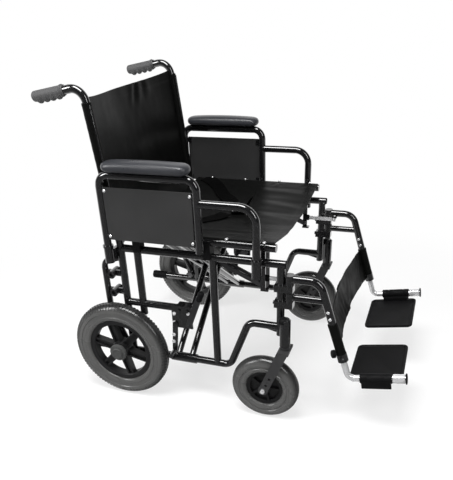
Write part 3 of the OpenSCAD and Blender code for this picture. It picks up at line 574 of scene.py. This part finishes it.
def is_tread(c, n):
    """Every other strip of the running surface, on both sides of a smooth middle."""
    strip = int(round((math.atan2(c.z, c.x) / math.tau) * REAR_TURNS - 0.5))
    return strip % 2 == 0 and math.hypot(c.x, c.z) > TREAD_FROM and TREAD_INNER < abs(c.y) < TREAD_OUTER


rear = spun_tyre("rear_tyre", rim=0.102, radius=0.1541, width=0.044, turns=REAR_TURNS)
open_mesh(rear, "FACE", is_tread)
bpy.ops.mesh.extrude_region_shrink_fatten(TRANSFORM_OT_shrink_fatten={"value": TREAD_HIGH})
close_mesh()
clean(rear, 0.00001)
small = spun_tyre("caster_tyre", rim=0.054, radius=0.0998, width=0.044, turns=SMALL_TURNS)
for tyre in (rear, small):
    sink(tyre, lambda c, n: abs(n.y) > 0.9995, border=0.0030, lip=0.0014, depth=0.0016)
smooth(rear, 32)
smooth(small, 40)
for tyre, start, full in ((rear, 0.140, 0.151), (small, 0.086, 0.097)):
    tread_share = tyre.data.attributes.new("tread", "FLOAT", "POINT")
    for v in tyre.data.vertices:
        share_out = (math.hypot(v.co.x, v.co.z) - start) / (full - start)
        tread_share.data[v.index].value = min(max(share_out, 0.0), 1.0)
for model, hub, solid, body in ((rear, REAR_HUB, "rear_tyre_", "rear_wheel_"),
                                (small, CASTER_HUB, "caster_tyre_", "caster_wheel_")):
    for s in SIDES:
        piece = mount(model, solid + "rubber_" + s, s, Matrix.Translation(hub), tyre_rubber, "tyre_grey", body + s)
        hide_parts(solid + s)
    print(model.name, len(model.data.polygons), "faces, outer radius",
          round(max(math.hypot(v.co.x, v.co.z) for v in model.data.vertices), 4))
    bpy.data.objects.remove(model)

# %% [markdown]
# ## Arm pads
# The pads are foam under a smooth moulded skin: flat below, full and crowned above, drawn in at the round ends.
# A block gets its corners rounded and its lower edge narrowed by hand. It is then remeshed and
# blown up a little as cloth with inner pressure, which gives the even tension of a filled skin. The base is
# pinned so that it stays flat on its tube, and no point may move further than a few millimetres.

# %% The pad blank
PAD_LOW, PAD_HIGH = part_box("arm_pad_r")
pad_mid = (PAD_LOW + PAD_HIGH) / 2
pad_size = PAD_HIGH - PAD_LOW
pad = block((pad_size.x - 0.004, pad_size.y - 0.005, pad_size.z - 0.004))
round_edges(pad, lambda a, b: abs(a.z - b.z) > 0.01, 0.0235, 8)
round_edges(pad, lambda a, b: min(a.z, b.z) > 0.01, 0.0125, 6)
round_edges(pad, lambda a, b: max(a.z, b.z) < -0.01, 0.007, 3)
open_mesh(pad, "VERT", lambda p: p.z < -0.009)
bpy.ops.transform.resize(value=(0.975, 0.86, 1), center_override=(0, 0, 0))
close_mesh()
print("pad blank:", len(pad.data.polygons), "faces")

# %% Remesh, crown and fill
VOXEL, MOST_MOVE = 0.0045, 0.0022
CROWN, SETTLE = 0.0042, 0.0026
SKIN_PRESSURE, FILL_STEPS = 4.0, 16
modify(pad, "REMESH", mode="VOXEL", voxel_size=VOXEL)
for v in pad.data.vertices:
    share = max(0.0, v.co.z + 0.004) / 0.02
    ends = 1 - (abs(v.co.x) / (pad_size.x / 2)) ** 2.6
    v.co.z += share * (CROWN * ends - SETTLE)
rest = [v.co.copy() for v in pad.data.vertices]
hold(pad)
pinned = pad.vertex_groups.new(name="base")
pinned.add([v.index for v in pad.data.vertices if v.co.z < -0.0085], 1.0, "REPLACE")
cloth = pad.modifiers.new("skin", "CLOTH")
cloth.settings.vertex_group_mass = "base"
cloth.settings.use_pressure = True
cloth.settings.uniform_pressure_force = SKIN_PRESSURE
cloth.settings.effector_weights.gravity = 0.0
cloth.settings.quality = 6
cloth.collision_settings.use_collision = False
for step in range(1, FILL_STEPS + 1):
    scene.frame_set(step)
bpy.ops.object.modifier_apply(modifier=cloth.name)
scene.frame_set(1)
for v, was in zip(pad.data.vertices, rest):
    move = v.co - was
    if move.length > MOST_MOVE:
        v.co = was + move * (MOST_MOVE / move.length)
modify(pad, "SMOOTH", factor=0.5, iterations=6)
modify(pad, "SUBSURF", levels=1, render_levels=1)
low = Vector([min(v.co[i] for v in pad.data.vertices) for i in range(3)])
high = Vector([max(v.co[i] for v in pad.data.vertices) for i in range(3)])
fit = Matrix.Diagonal([pad_size[i] / (high[i] - low[i]) for i in range(3)]).to_4x4()
pad.data.transform(fit @ Matrix.Translation(-(low + high) / 2))
smooth(pad, 80)
for s in SIDES:
    piece = mount(pad, "pad_" + s, s, Matrix.Translation(pad_mid), pad_skin, "pad_vinyl", "armrest_" + s)
    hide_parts("arm_pad_" + s)
print("arm pad:", len(pad.data.polygons), "faces")
bpy.data.objects.remove(pad)

# %% [markdown]
# ## Seat sling
# The seat is one sheet of coated vinyl hung between the two seat rails and screwed down along them. It sags in
# the middle, is pulled into small scallops at the screws, and years of folding have left soft creases that run
# forward from the middle. The sheet is a fine grid laid across the rails; each point then gets its height from
# the sag, the creases and the pull of the screws, and Solidify gives the cloth its thickness.

# %% The folds as heights
SEAT_X0, SEAT_X1 = -0.277, 0.146
RAIL_Y, RAIL_Z = FRAME_HALF, 0.517
WRAP_R = 0.0130
FLAT_HALF, FLAT_EDGE_Y = 0.259, RAIL_Y - 0.004
SAG, FRONT_SAG = 0.020, 0.008
SCREW_X = [-0.225, -0.105, 0.015, 0.118]
# each fold of the seat: where it meets the front edge, its lean, its height and its half width
SEAT_FOLDS = [(-0.185, 0.10, 0.0045, 0.016), (-0.150, 0.16, -0.0040, 0.014), (-0.105, 0.05, 0.0052, 0.017),
              (-0.060, 0.12, -0.0042, 0.015), (-0.015, -0.04, 0.0046, 0.016), (0.035, 0.06, -0.0040, 0.014),
              (0.080, -0.08, 0.0046, 0.017), (0.125, 0.05, -0.0036, 0.014), (0.170, -0.10, 0.0040, 0.016),
              (0.205, -0.05, -0.0026, 0.011), (-0.215, -0.05, 0.0026, 0.011)]


def step_up(a, b, x):
    t = min(max((x - a) / (b - a), 0.0), 1.0)
    return t * t * (3 - 2 * t)


def crease(x, y):
    total = 0.0
    for k, (y0, lean, height, wide) in enumerate(SEAT_FOLDS):
        line = y0 + lean * (x - SEAT_X1) + 0.012 * noise.noise(Vector((x * 7, k * 3.1, 0.4)))
        fade = 1 - 0.55 * step_up(0.09, SEAT_X1, x)
        reach = 0.55 * step_up(-0.12 - 0.05 * math.sin(k * 2.3), 0.06, x) * fade + 0.08
        total += height * reach * math.exp(-((y - line) / wide) ** 2)
    fine = noise.noise(Vector((x * 9, y * 34, 1.7))) * 0.0011 + noise.noise(Vector((x * 22, y * 60, 5.2))) * 0.0004
    return total + fine


def seat_point(x, t):
    """A point of the sheet: x along the chair, t across it, measured along the cloth from the middle."""
    side = 1 if t >= 0 else -1
    a = abs(t)
    near = min(a / 0.255, 1.0)
    deep = SAG + FRONT_SAG * step_up(-0.05, SEAT_X1, x)
    z = RAIL_Z + WRAP_R - deep * (1 - near ** 2)
    if a > FLAT_HALF:
        turn = (a - FLAT_HALF) / WRAP_R
        return Vector((x, side * (FLAT_EDGE_Y + WRAP_R * math.sin(turn)), RAIL_Z + WRAP_R * math.cos(turn)))
    y = side * a * FLAT_EDGE_Y / FLAT_HALF
    calm = 1 - step_up(0.85, 1.0, near)
    z += 0.5 * crease(x, y) * calm
    z += noise.noise(Vector((x * 9, y * 11, 4.4))) * 0.0030 * calm
    for sx in SCREW_X:
        away = math.hypot(x - sx, (a - FLAT_HALF) * 1.3)
        z -= 0.0022 * math.exp(-(away / 0.012) ** 2) * step_up(0.9, 0.99, near)
        spread = math.atan2(x - sx, FLAT_HALF + 0.002 - a)
        z += 0.0014 * math.cos(spread * 7) * math.exp(-((away - 0.024) / 0.018) ** 2) * calm
    return Vector((x, y, z))


print("front edge hangs", round(RAIL_Z + WRAP_R - seat_point(SEAT_X1, 0).z, 3), "m below the rails")

# %% The sheet, bent and thickened
seat = grid("seat_sheet", 112, 156)
T_MAX = FLAT_HALF + WRAP_R * 0.62
for v in seat.data.vertices:
    x = (SEAT_X0 + SEAT_X1) / 2 + v.co.x * (SEAT_X1 - SEAT_X0) / 2
    t = v.co.y * T_MAX
    edge = step_up(0.97, 1.0, abs(v.co.y))
    pull = min(abs(x - sx) for sx in SCREW_X)
    x += 0.002 * noise.noise(Vector((t * 11, 3.0, 0))) * step_up(0.9, 1, abs(v.co.x))
    v.co = seat_point(x, t * (1 - 0.012 * edge * math.exp(-(pull / 0.011) ** 2)))
hem = seat.vertex_groups.new(name="hem")
for v in seat.data.vertices:
    inside = min(v.co.x - SEAT_X0, SEAT_X1 - v.co.x)
    hem.add([v.index], 1.0 if inside < 0.022 else 0.62, "REPLACE")
clean(seat)
if seat.data.polygons[len(seat.data.polygons) // 2].normal.z < 0:
    seat.data.flip_normals()
modify(seat, "SOLIDIFY", thickness=0.0034, offset=-0.2, vertex_group="hem", use_rim=True)
smooth(seat, 60)
dress(seat, sling_vinyl)
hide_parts("seat_sling_r", "seat_sling_l")
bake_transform(seat)
print("seat sheet:", len(seat.data.polygons), "faces, cut", round(SEAT_X1 - SEAT_X0, 3), "x", round(2 * T_MAX, 3))

# %% [markdown]
# ## Seat screws
# Each rail has a row of pan-head screws on cup washers. One is turned from a disc and copied; the heads sit on
# the cloth just outside the top of the rail and ride with the rail.

# %% Screws along the rails
screw = turned("seat_screw", [(-0.001, 0.0046), (0.0005, 0.0046), (0.0009, 0.0041), (0.0009, 0.0034), (0.0018, 0.0032),
                              (0.0024, 0.0026), (0.0027, 0.0017), (0.0027, 0.0014), (0.0019, 0.0012)], 20, 40)
SCREW_TILT = math.radians(10)
HEAD_R = WRAP_R + 0.0012
screw_way = (0, -math.sin(SCREW_TILT), math.cos(SCREW_TILT))
for s, body in (("r", "cross_b"), ("l", "cross_a")):
    for k, sx in enumerate(SCREW_X):
        spot = Vector((sx, -RAIL_Y - HEAD_R * math.sin(SCREW_TILT), RAIL_Z + HEAD_R * math.cos(SCREW_TILT)))
        seated = axes(spot, screw_way, (1, 0, 0))
        mount(screw, "seat_screw_%s%d" % (s, k), s, seated, plating, "plated_steel", body)
bpy.data.objects.remove(screw)
print("seat screws:", 2 * len(SCREW_X))

# %% [markdown]
# ## Back sling
# The back is a second sheet with a sleeve sewn along each side; the sleeves slide over the back canes. It bows
# backward between the canes, its upper hem hangs a little and soft folds run down from it. The sheet is made the
# same way as the seat, standing up along the lean of the canes, and the sleeves are two tubes of the same vinyl.

# %% The sheet between the canes
LEAN = math.radians(6.3)
CANE_FOOT = Vector((-0.309, 0, 0.482))
CANE_WAY = Vector((-math.sin(LEAN), 0, math.cos(LEAN)))
CANE_FRONT = Vector((math.cos(LEAN), 0, math.sin(LEAN)))
BACK_HALF = 0.2565
# each fold of the back: where it meets the upper hem, its lean, its height, its half width and its reach downward
BACK_FOLDS = [(0.16, 0.45, 0.0026, 0.050, 0.20), (0.23, 0.50, -0.0024, 0.045, 0.19),
              (0.30, 0.30, 0.0028, 0.050, 0.24), (0.38, -0.10, -0.0020, 0.05, 0.18),
              (0.47, -0.32, 0.0018, 0.06, 0.16), (-0.25, -0.08, -0.0012, 0.09, 0.2)]


def back_point(t, h):
    """A point of the back sheet: t from -1 (right) to 1 (left), h from 0 (bottom) to 1 (top)."""
    y = t * BACK_HALF
    top = 0.3895 + 0.007 * abs(t) ** 5
    low = 0.018 - 0.026 * abs(t) ** 3
    up = low + (top - low) * h
    bow = -(0.024 + 0.008 * h) * (1 - t * t) - 0.002
    soft = 0.0
    for t0, lean, high, wide, reach in BACK_FOLDS:
        line = t0 - lean * (1 - h)
        fade = 1 - 0.5 * step_up(0.93, 1, h)
        soft += high * math.exp(-((t - line) / wide) ** 2) * step_up(1 - reach, 0.96, h) * fade
    soft += 0.0016 * math.sin(6.5 * t + 2.4 * h) * math.sin(4.2 * h + 0.6) * (1 - t * t)
    soft += noise.noise(Vector((y * 9, up * 7, 2.1))) * 0.0024 * (1 - t ** 4)
    soft += noise.noise(Vector((y * 40, up * 22, 7.7))) * 0.0005 * (1 - t ** 4)
    return CANE_FOOT + CANE_WAY * up + CANE_FRONT * (bow + soft) + Vector((0, y, 0))


back = grid("back_sheet", 150, 96)
band = back.vertex_groups.new(name="hem")
for v in back.data.vertices:
    band.add([v.index], 1.0 if v.co.y > 0.87 or v.co.y < -0.93 else 0.6, "REPLACE")
    v.co = back_point(v.co.x, (v.co.y + 1) / 2)
if back.data.polygons[len(back.data.polygons) // 2].normal.x < 0:
    back.data.flip_normals()
modify(back, "SOLIDIFY", thickness=0.0038, offset=0, vertex_group="hem", use_rim=True)
smooth(back, 60)
dress(back, sling_vinyl)
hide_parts("back_sling_r", "back_sling_l")
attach(back, "right_side")
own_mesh(back)
print("back sheet:", len(back.data.polygons), "faces")

# %% [markdown]
# The sleeves are drawn out along the cane. Their sewn edge shows as a thin raised welt on the inner side, and a
# second welt runs down the outside where the vinyl is turned in.

# %% Sleeves and welts
SLEEVE = [(0.046, 0.0122), (0.0465, 0.0133), (0.052, 0.0136), (0.056, 0.0131)]
SLEEVE += [(0.056 + 0.0079 * k, 0.0131 + 0.00018 * math.sin(k * 1.9)) for k in range(1, 40)]
SLEEVE += [(0.375, 0.0131), (0.379, 0.0135), (0.3838, 0.0133), (0.3842, 0.0122)]
sleeve = turned("back_sleeve", SLEEVE, 28)
open_ends(sleeve)
modify(sleeve, "SOLIDIFY", thickness=0.0010, offset=-1)
smooth(sleeve, 50)
cane_r = axes(CANE_FOOT + Vector((0, -FRAME_HALF, 0)), CANE_WAY, (1, 0, 0))
WELT_TURNS = (330, 165)
welt = block((0.0032, 0.0040, 0.324), (0.0137, 0, 0.217), (0.0014, 3))
smooth(welt, 50)
for s in SIDES:
    mount(sleeve, "back_sleeve_" + s, s, cane_r, sling_vinyl, "sling_vinyl", SIDE_BODY[s])
    for k, turn in enumerate(WELT_TURNS):
        welt_r = cane_r @ Matrix.Rotation(math.radians(turn), 4, "Z")
        mount(welt, "sleeve_welt_%s%d" % (s, k), s, welt_r, black_paint, "sling_vinyl", SIDE_BODY[s])
bpy.data.objects.remove(sleeve)
bpy.data.objects.remove(welt)
print("sleeves: 2, welts: 4")

# %% [markdown]
# ## Calf strap
# A band of vinyl webbing hangs between the two footrest hangers and keeps the sitter's feet from slipping back.
# Each half is sewn round its own hanger tube, and the halves overlap in the middle with hook-and-loop tape, so the
# hangers can swing apart. Each half is a grid bent to the bow of the band, with the sleeve as a turned tube.

# %% The two halves
STRAP_TOP = Vector((0.3057, 0, 0.316))
STRAP_HIGH = 0.104
STRAP_HALF, STRAP_REACH, STRAP_BOW = 0.262, 0.300, 0.026
STRAP_MIDDLE = 0.87
HANG_LEAN = math.radians(18)
STRAP_WAY = Vector((math.sin(HANG_LEAN), 0, -math.cos(HANG_LEAN)))
STRAP_BACK = Vector((-math.cos(HANG_LEAN), 0, -math.sin(HANG_LEAN)))


def strap_point(t, h, side, lift):
    """t runs from 0 at the tube to 1 past the middle, h from 0 at the top to 1 at the bottom."""
    y = STRAP_HALF - t * STRAP_REACH
    bow = STRAP_BOW * (1 - (y / STRAP_HALF) ** 2) + 0.004
    narrow = 0.003 * math.sin(math.pi * min(t, STRAP_MIDDLE) / STRAP_MIDDLE)
    down = -0.002 + narrow + (STRAP_HIGH - 2 * narrow) * h
    soft = 0.0022 * math.sin(5.0 * t + side) * math.sin(3.1 * h + 0.3) * (1 - (1 - 2 * h) ** 2 * 0.4)
    soft += noise.noise(Vector((y * 14, h * 2.2, 3.0 + side))) * 0.0024 * step_up(0, 0.15, t)
    soft += noise.noise(Vector((y * 42 + h * 1.5, h * 1.6, 9.0 + side))) * 0.0013 * step_up(0, 0.1, t)
    return STRAP_TOP + STRAP_WAY * down + STRAP_BACK * (bow + soft + lift) + Vector((0, side * y, 0))


def sew(obj, thick, material, **more):
    """Gives a band its thickness and its finish."""
    modify(obj, "SOLIDIFY", thickness=thick, offset=0, use_rim=True, **more)
    clean(obj)
    smooth(obj, 60)
    dress(obj, material)


for s, side, lift in (("r", -1, -0.0016), ("l", 1, 0.0016)):
    strap = grid("calf_band_" + s, 90, 26)
    edge = strap.vertex_groups.new(name="edge")
    for v in strap.data.vertices:
        edge.add([v.index], 1.0 if abs(v.co.y) > 0.86 else 0.6, "REPLACE")
        v.co = strap_point((v.co.x + 1) / 2, (v.co.y + 1) / 2, side, lift)
    sew(strap, 0.0026, strap_vinyl, vertex_group="edge")
    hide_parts("calf_strap_" + s)
    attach(strap, "hanger_" + s)
    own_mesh(strap)
band = turned("calf_sleeve", [(-0.0025, 0.0122), (-0.002, 0.0134), (0.004, 0.0137), (0.010, 0.0133), (0.045, 0.0134),
                              (0.080, 0.0133), (0.086, 0.0137), (0.0895, 0.0134), (0.090, 0.0122)], 28)
open_ends(band)
modify(band, "SOLIDIFY", thickness=0.0009, offset=-1)
smooth(band, 50)
hanger_r = axes(STRAP_TOP + Vector((0, -FRAME_HALF, 0)), STRAP_WAY, (1, 0, 0))
for s in SIDES:
    mount(band, "calf_sleeve_" + s, s, hanger_r, strap_vinyl, "webbing", "hanger_" + s)
bpy.data.objects.remove(band)
print("calf strap halves: 2")

# %% [markdown]
# ## Seat belt
# The belt is flat polyester webbing, bolted at the rear corners of the seat and left lying across it. Webbing
# lies in long lazy waves, so each half is a narrow grid that follows the seat with a slight twist and a lifted
# end. The belt's end tab stands up a little in the middle.

# %% Two halves of webbing
BELT_HALF, BELT_LIFT = 0.0215, 0.0032


def belt_line(u, side):
    """Middle of the belt half: u from 0 at the seat corner to 1 at the buckle."""
    x = -0.246 + 0.178 * u + 0.018 * math.sin(math.pi * u)
    y = side * (0.252 - 0.222 * u + 0.010 * math.sin(2.6 * math.pi * u))
    return x, y


def on_seat(x, y):
    t = min(abs(y) * FLAT_HALF / FLAT_EDGE_Y, FLAT_HALF - 0.0005)
    return seat_point(x, math.copysign(t, y)).z


for s, side in (("r", -1), ("l", 1)):
    belt = grid("belt_" + s, 100, 10)
    for v in belt.data.vertices:
        u, w = (v.co.x + 1) / 2, v.co.y
        x0, y0 = belt_line(max(u - 0.01, 0), side)
        x1, y1 = belt_line(min(u + 0.01, 1), side)
        way = Vector((x1 - x0, y1 - y0, 0)).normalized()
        x, y = belt_line(u, side)
        x -= way.y * w * BELT_HALF
        y += way.x * w * BELT_HALF
        wave = 0.0035 * (1 + math.sin(9.0 * u + side)) * math.sin(math.pi * u) * (0.6 + 0.4 * w)
        v.co = Vector((x, y, on_seat(x, y) + BELT_LIFT + wave + 0.004 * step_up(0.86, 1, u)))
    sew(belt, 0.0016, webbing)
    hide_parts("seat_belt_" + s)
    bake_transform(belt)
print("belt halves: 2")

# %% [markdown]
# The buckle is a flat moulded housing with a press button. A block gets round corners, its top is inset and sunk
# for the button's field, the middle of that is inset and raised again as the button, and all edges are softened.
# The tab is a short grid of webbing that curves up beside it.

# %% Buckle and belt tab
BUCKLE_LOW, BUCKLE_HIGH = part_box("belt_buckle")
buckle_mid = (BUCKLE_LOW + BUCKLE_HIGH) / 2
buckle_size = BUCKLE_HIGH - BUCKLE_LOW
buckle = block((buckle_size.x, buckle_size.y * 0.86, buckle_size.z))
round_edges(buckle, lambda a, b: abs(a.z - b.z) > 0.005, 0.009, 5)
open_mesh(buckle, "FACE", lambda c, n: n.z > 0.9)
bpy.ops.mesh.inset(thickness=0.006, depth=0)
bpy.ops.mesh.extrude_region_move(TRANSFORM_OT_translate={"value": (0, 0, -0.0016)})
bpy.ops.mesh.inset(thickness=0.004, depth=0)
bpy.ops.mesh.extrude_region_move(TRANSFORM_OT_translate={"value": (0, 0, 0.0021)})
close_mesh()
modify(buckle, "BEVEL", width=0.0009, segments=2, limit_method="ANGLE", angle_limit=math.radians(40))
smooth(buckle, 40)
askew = Matrix.Rotation(math.radians(16), 4, "Z")
buckle.data.transform(Matrix.Translation(buckle_mid + Vector((0, 0, 0.0025))) @ askew)
buckle.name = "buckle_housing"
dress(buckle, black_plastic)
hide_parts("belt_buckle")
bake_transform(buckle)
tab = grid("belt_tab", 28, 8)
for v in tab.data.vertices:
    u, w = (v.co.x + 1) / 2, v.co.y
    rise = 0.052 * math.sin(math.radians(75) * u)
    spot = Vector((-0.020 + 0.030 * u, -0.006 + 0.022 * w, 0))
    v.co = Vector((spot.x, spot.y, on_seat(spot.x, spot.y) + 0.006 + rise + 0.0015 * math.sin(3 * w + 4 * u)))
sew(tab, 0.0016, webbing)
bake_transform(tab)
print("buckle:", len(buckle.data.polygons), "faces")

# %% [markdown]
# ## Footplates
# The footplates are moulded plastic trays: a shallow dish with a rounded raised rim and a hinge sleeve along the
# plated tube. The tray starts as a block, its corners are rounded, the upper face is inset and pressed down.
# It is drawn level along the tube and then tilted up with it.

# %% One tray, in the tilt of its tube
FOOT_PIN = Vector((0.3586, -FRAME_HALF, 0.153))
TILT = math.radians(10)
tray = block((0.146, 0.193, 0.0075), (0.069, 0.1105, -0.01725))
round_edges(tray, lambda a, b: abs(a.z - b.z) > 0.005, 0.016, 6)
sink(tray, lambda c, n: n.z > 0.9, border=0.006, lip=0.003, depth=0.003)
sink(tray, lambda c, n: n.z < -0.9, border=0.005, lip=0.001, depth=0.0012)
modify(tray, "BEVEL", width=0.0016, segments=3, limit_method="ANGLE", angle_limit=math.radians(38))
print("tray:", len(tray.data.polygons), "faces")

# %% Hinge sleeve with its flap, joined to the tray
sleeve = turned("foot_sleeve", [(0.032, 0.0101), (0.032, 0.0128), (0.0335, 0.0140), (0.050, 0.0140), (0.0515, 0.0131),
                                (0.0535, 0.0131), (0.055, 0.0140), (0.097, 0.0140), (0.0985, 0.0131),
                                (0.1005, 0.0131), (0.102, 0.0140), (0.1165, 0.0140), (0.118, 0.0128),
                                (0.118, 0.0101)], 32)
open_ends(sleeve)
sleeve.data.transform(Matrix.Rotation(math.radians(90), 4, "Y"))
web = block((0.078, 0.016, 0.016), (0.075, 0.0165, -0.0125), (0.002, 2))
flap = block((0.080, 0.006, 0.026), (0.075, -0.0098, -0.0140), (0.0018, 2))
hold(tray)
for piece in (sleeve, web, flap):
    piece.select_set(True)
bpy.ops.object.join()
smooth(tray, 38)
# the tray is drawn with its width toward +Y from the pin, which is inward on the right side
place = Matrix.Translation(FOOT_PIN) @ Matrix.Rotation(-TILT, 4, "Y")
for s in SIDES:
    piece = mount(tray, "foot_tray_" + s, s, place, black_plastic, "black_plastic", "footplate_" + s)
    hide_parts("footplate_" + s)
bpy.data.objects.remove(tray)
print("foot trays: 2")

# %% [markdown]
# ## Small fittings
# A picture of bare solids gives itself away by what is missing: the grey hub caps, the moulded knobs and tips on
# the levers, the clamp knob that holds the footrest at its length, the tube caps, bolts and rivets. Each one is
# turned or drawn out from a primitive once, copied to its places and set to ride on what carries it. The grips of
# the clamp knob are every other strip of its rim, pushed out.

# %% Hub caps, knobs, latch tips, bolts and rivets
cap = turned("hub_cap", [(-0.003, 0.0268), (0.0030, 0.0268), (0.0056, 0.0260), (0.0068, 0.0240), (0.0070, 0.0196),
                         (0.0070, 0.0172), (0.0108, 0.0166), (0.0122, 0.0152), (0.0126, 0.0120), (0.0118, 0.0108),
                         (0.0118, 0.0030)], 40, 35)
ring = turned("tube_cap", [(-0.001, 0.0152), (0.001, 0.0152), (0.0022, 0.0146), (0.0026, 0.0128),
                           (0.0020, 0.0112)], 32, 35)
DIAL_SIDES = 16
dial = turned("clamp_knob", [(-0.002, 0.0050), (0.0030, 0.0050), (0.0034, 0.0096), (0.0046, 0.0106), (0.0120, 0.0104),
                             (0.0136, 0.0094), (0.0142, 0.0060), (0.0138, 0.0020)], DIAL_SIDES)


def is_ridge(c, n):
    strip = int(round(math.atan2(c.y, c.x) / math.tau * DIAL_SIDES - 0.5))
    return 0.005 < c.z < 0.0125 and strip % 2 == 0


open_mesh(dial, "FACE", is_ridge)
bpy.ops.mesh.extrude_region_shrink_fatten(TRANSFORM_OT_shrink_fatten={"value": 0.0012})
close_mesh()
smooth(dial, 35)
tip = block((0.0200, 0.0092, 0.0178), rounding=(0.0026, 3))
smooth(tip, 40)
bolt = turned("lock_bolt", [(-0.001, 0.0062), (0.0004, 0.0062), (0.0008, 0.0050), (0.0032, 0.0050),
                            (0.0038, 0.0044)], 6, 25)
rivet = turned("rivet", [(-0.0008, 0.0044), (0.0004, 0.0044), (0.0014, 0.0036), (0.0019, 0.0020)], 18, 50)
knob = turned("lever_knob", [(-0.002, 0.0072), (0.000, 0.0086), (0.004, 0.0092), (0.014, 0.0090), (0.022, 0.0094),
                             (0.026, 0.0086), (0.0285, 0.0060), (0.0292, 0.0025)], 24, 50)
ferrule = turned("foot_ferrule", [(0, 0.0098), (0, 0.0120), (0.0010, 0.0128), (0.0300, 0.0128), (0.0316, 0.0122),
                                  (0.0322, 0.0110), (0.0322, 0.0098)], 32, 35)
dome = turned("head_cap", [(-0.0028, 0.0150), (-0.0024, 0.0157), (0.000, 0.0157), (0.004, 0.0151), (0.0075, 0.0132),
                           (0.0098, 0.0100), (0.0110, 0.0055), (0.0113, 0.0015)], 36, 50)
print("fitting models: 9, the clamp knob with", len(dial.data.polygons), "faces")

# %% Copies of the fittings in their places
OUT_R = (0, -1, 0)
HANG_TOP_X, HANG_TOP_Z = 0.267, 0.435
HUB_FACE, HANGER_FACE = 0.0246, 0.0108
LOCK_FACE_Y, SHOE_FACE_Y = -0.2822, -0.2865
latch_low, latch_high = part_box("hanger_latch_r")
foot_way = Vector((math.cos(TILT), 0, math.sin(TILT)))
lever_way = Vector((0.009, 0, 0.024)).normalized()
knob_out = Vector((-0.85, -0.52, 0)).normalized()
clamp_spot = Vector((0.3333, -FRAME_HALF, 0.231)) + knob_out * 0.0132
latch_spot = (latch_low[0] + 0.0082, (latch_low[1] + latch_high[1]) / 2, latch_low[2] + 0.0078)
ABOVE, AHEAD, LEFT = (0, 0, 1), (1, 0, 0), (0, 1, 0)
moulded, plated = (black_plastic, "black_plastic"), (plating, "plated_steel")
# each row: the model, its name, its place on the right side, its aim, what its X turns to, its finish and its body
fittings = [
    (cap, "hub_cap", REAR_HUB + Vector((0, -HUB_FACE, 0)), OUT_R, ABOVE, (hub_grey, "fork_grey"), "rear_wheel"),
    (knob, "lever_knob", (-0.069, -0.2845, 0.346), lever_way, LEFT, moulded, "lock_lever"),
    (ring, "tube_cap", FOOT_PIN + foot_way * 0.1542, foot_way, ABOVE, moulded, "foot_tube"),
    (ferrule, "foot_ferrule", FOOT_PIN + foot_way * 0.1195, foot_way, ABOVE, plated, "foot_tube")]
for k, (level, face) in enumerate(((0.354, -1), (0.334, -1), (0.354, 1), (0.334, 1))):
    spot = (HANG_TOP_X + (HANG_TOP_Z - level) * math.tan(HANG_LEAN), -FRAME_HALF + face * HANGER_FACE, level)
    fittings.append((rivet, "hanger_rivet%d" % k, spot, (0, face, 0), ABOVE, plated, "hanger"))
for k, (bx, bz) in enumerate(((-0.151, 0.291), (-0.153, 0.262), (-0.106, 0.296))):
    fittings.append((bolt, "lock_bolt%d" % k, (bx, LOCK_FACE_Y, bz), OUT_R, ABOVE, plated, "side"))
fittings.append((dome, "head_cap", (0.180, -0.295, 0.3215), ABOVE, AHEAD, moulded, "side"))
for k, (bx, bz) in enumerate(((-0.1561, 0.222), (-0.1582, 0.198))):
    fittings.append((bolt, "shoe_bolt%d" % k, (bx, SHOE_FACE_Y, bz), OUT_R, ABOVE, plated, "lock_shoe"))
fittings.append((dial, "clamp_knob", clamp_spot, knob_out, ABOVE, moulded, "hanger"))
fittings.append((tip, "latch_tip", latch_spot, ABOVE, AHEAD, moulded, "hanger_latch"))
for s in SIDES:
    for model, name, spot, aim, hint, look, body in fittings:
        carrier = SIDE_BODY[s] if body == "side" else "%s_%s" % (body, s)
        mount(model, "%s_%s" % (name, s), s, axes(Vector(spot), aim, hint), *look, carrier)
for model in (cap, ring, tip, dial, bolt, rivet, knob, ferrule, dome):
    bpy.data.objects.remove(model)
print("fittings:", 2 * len(fittings))
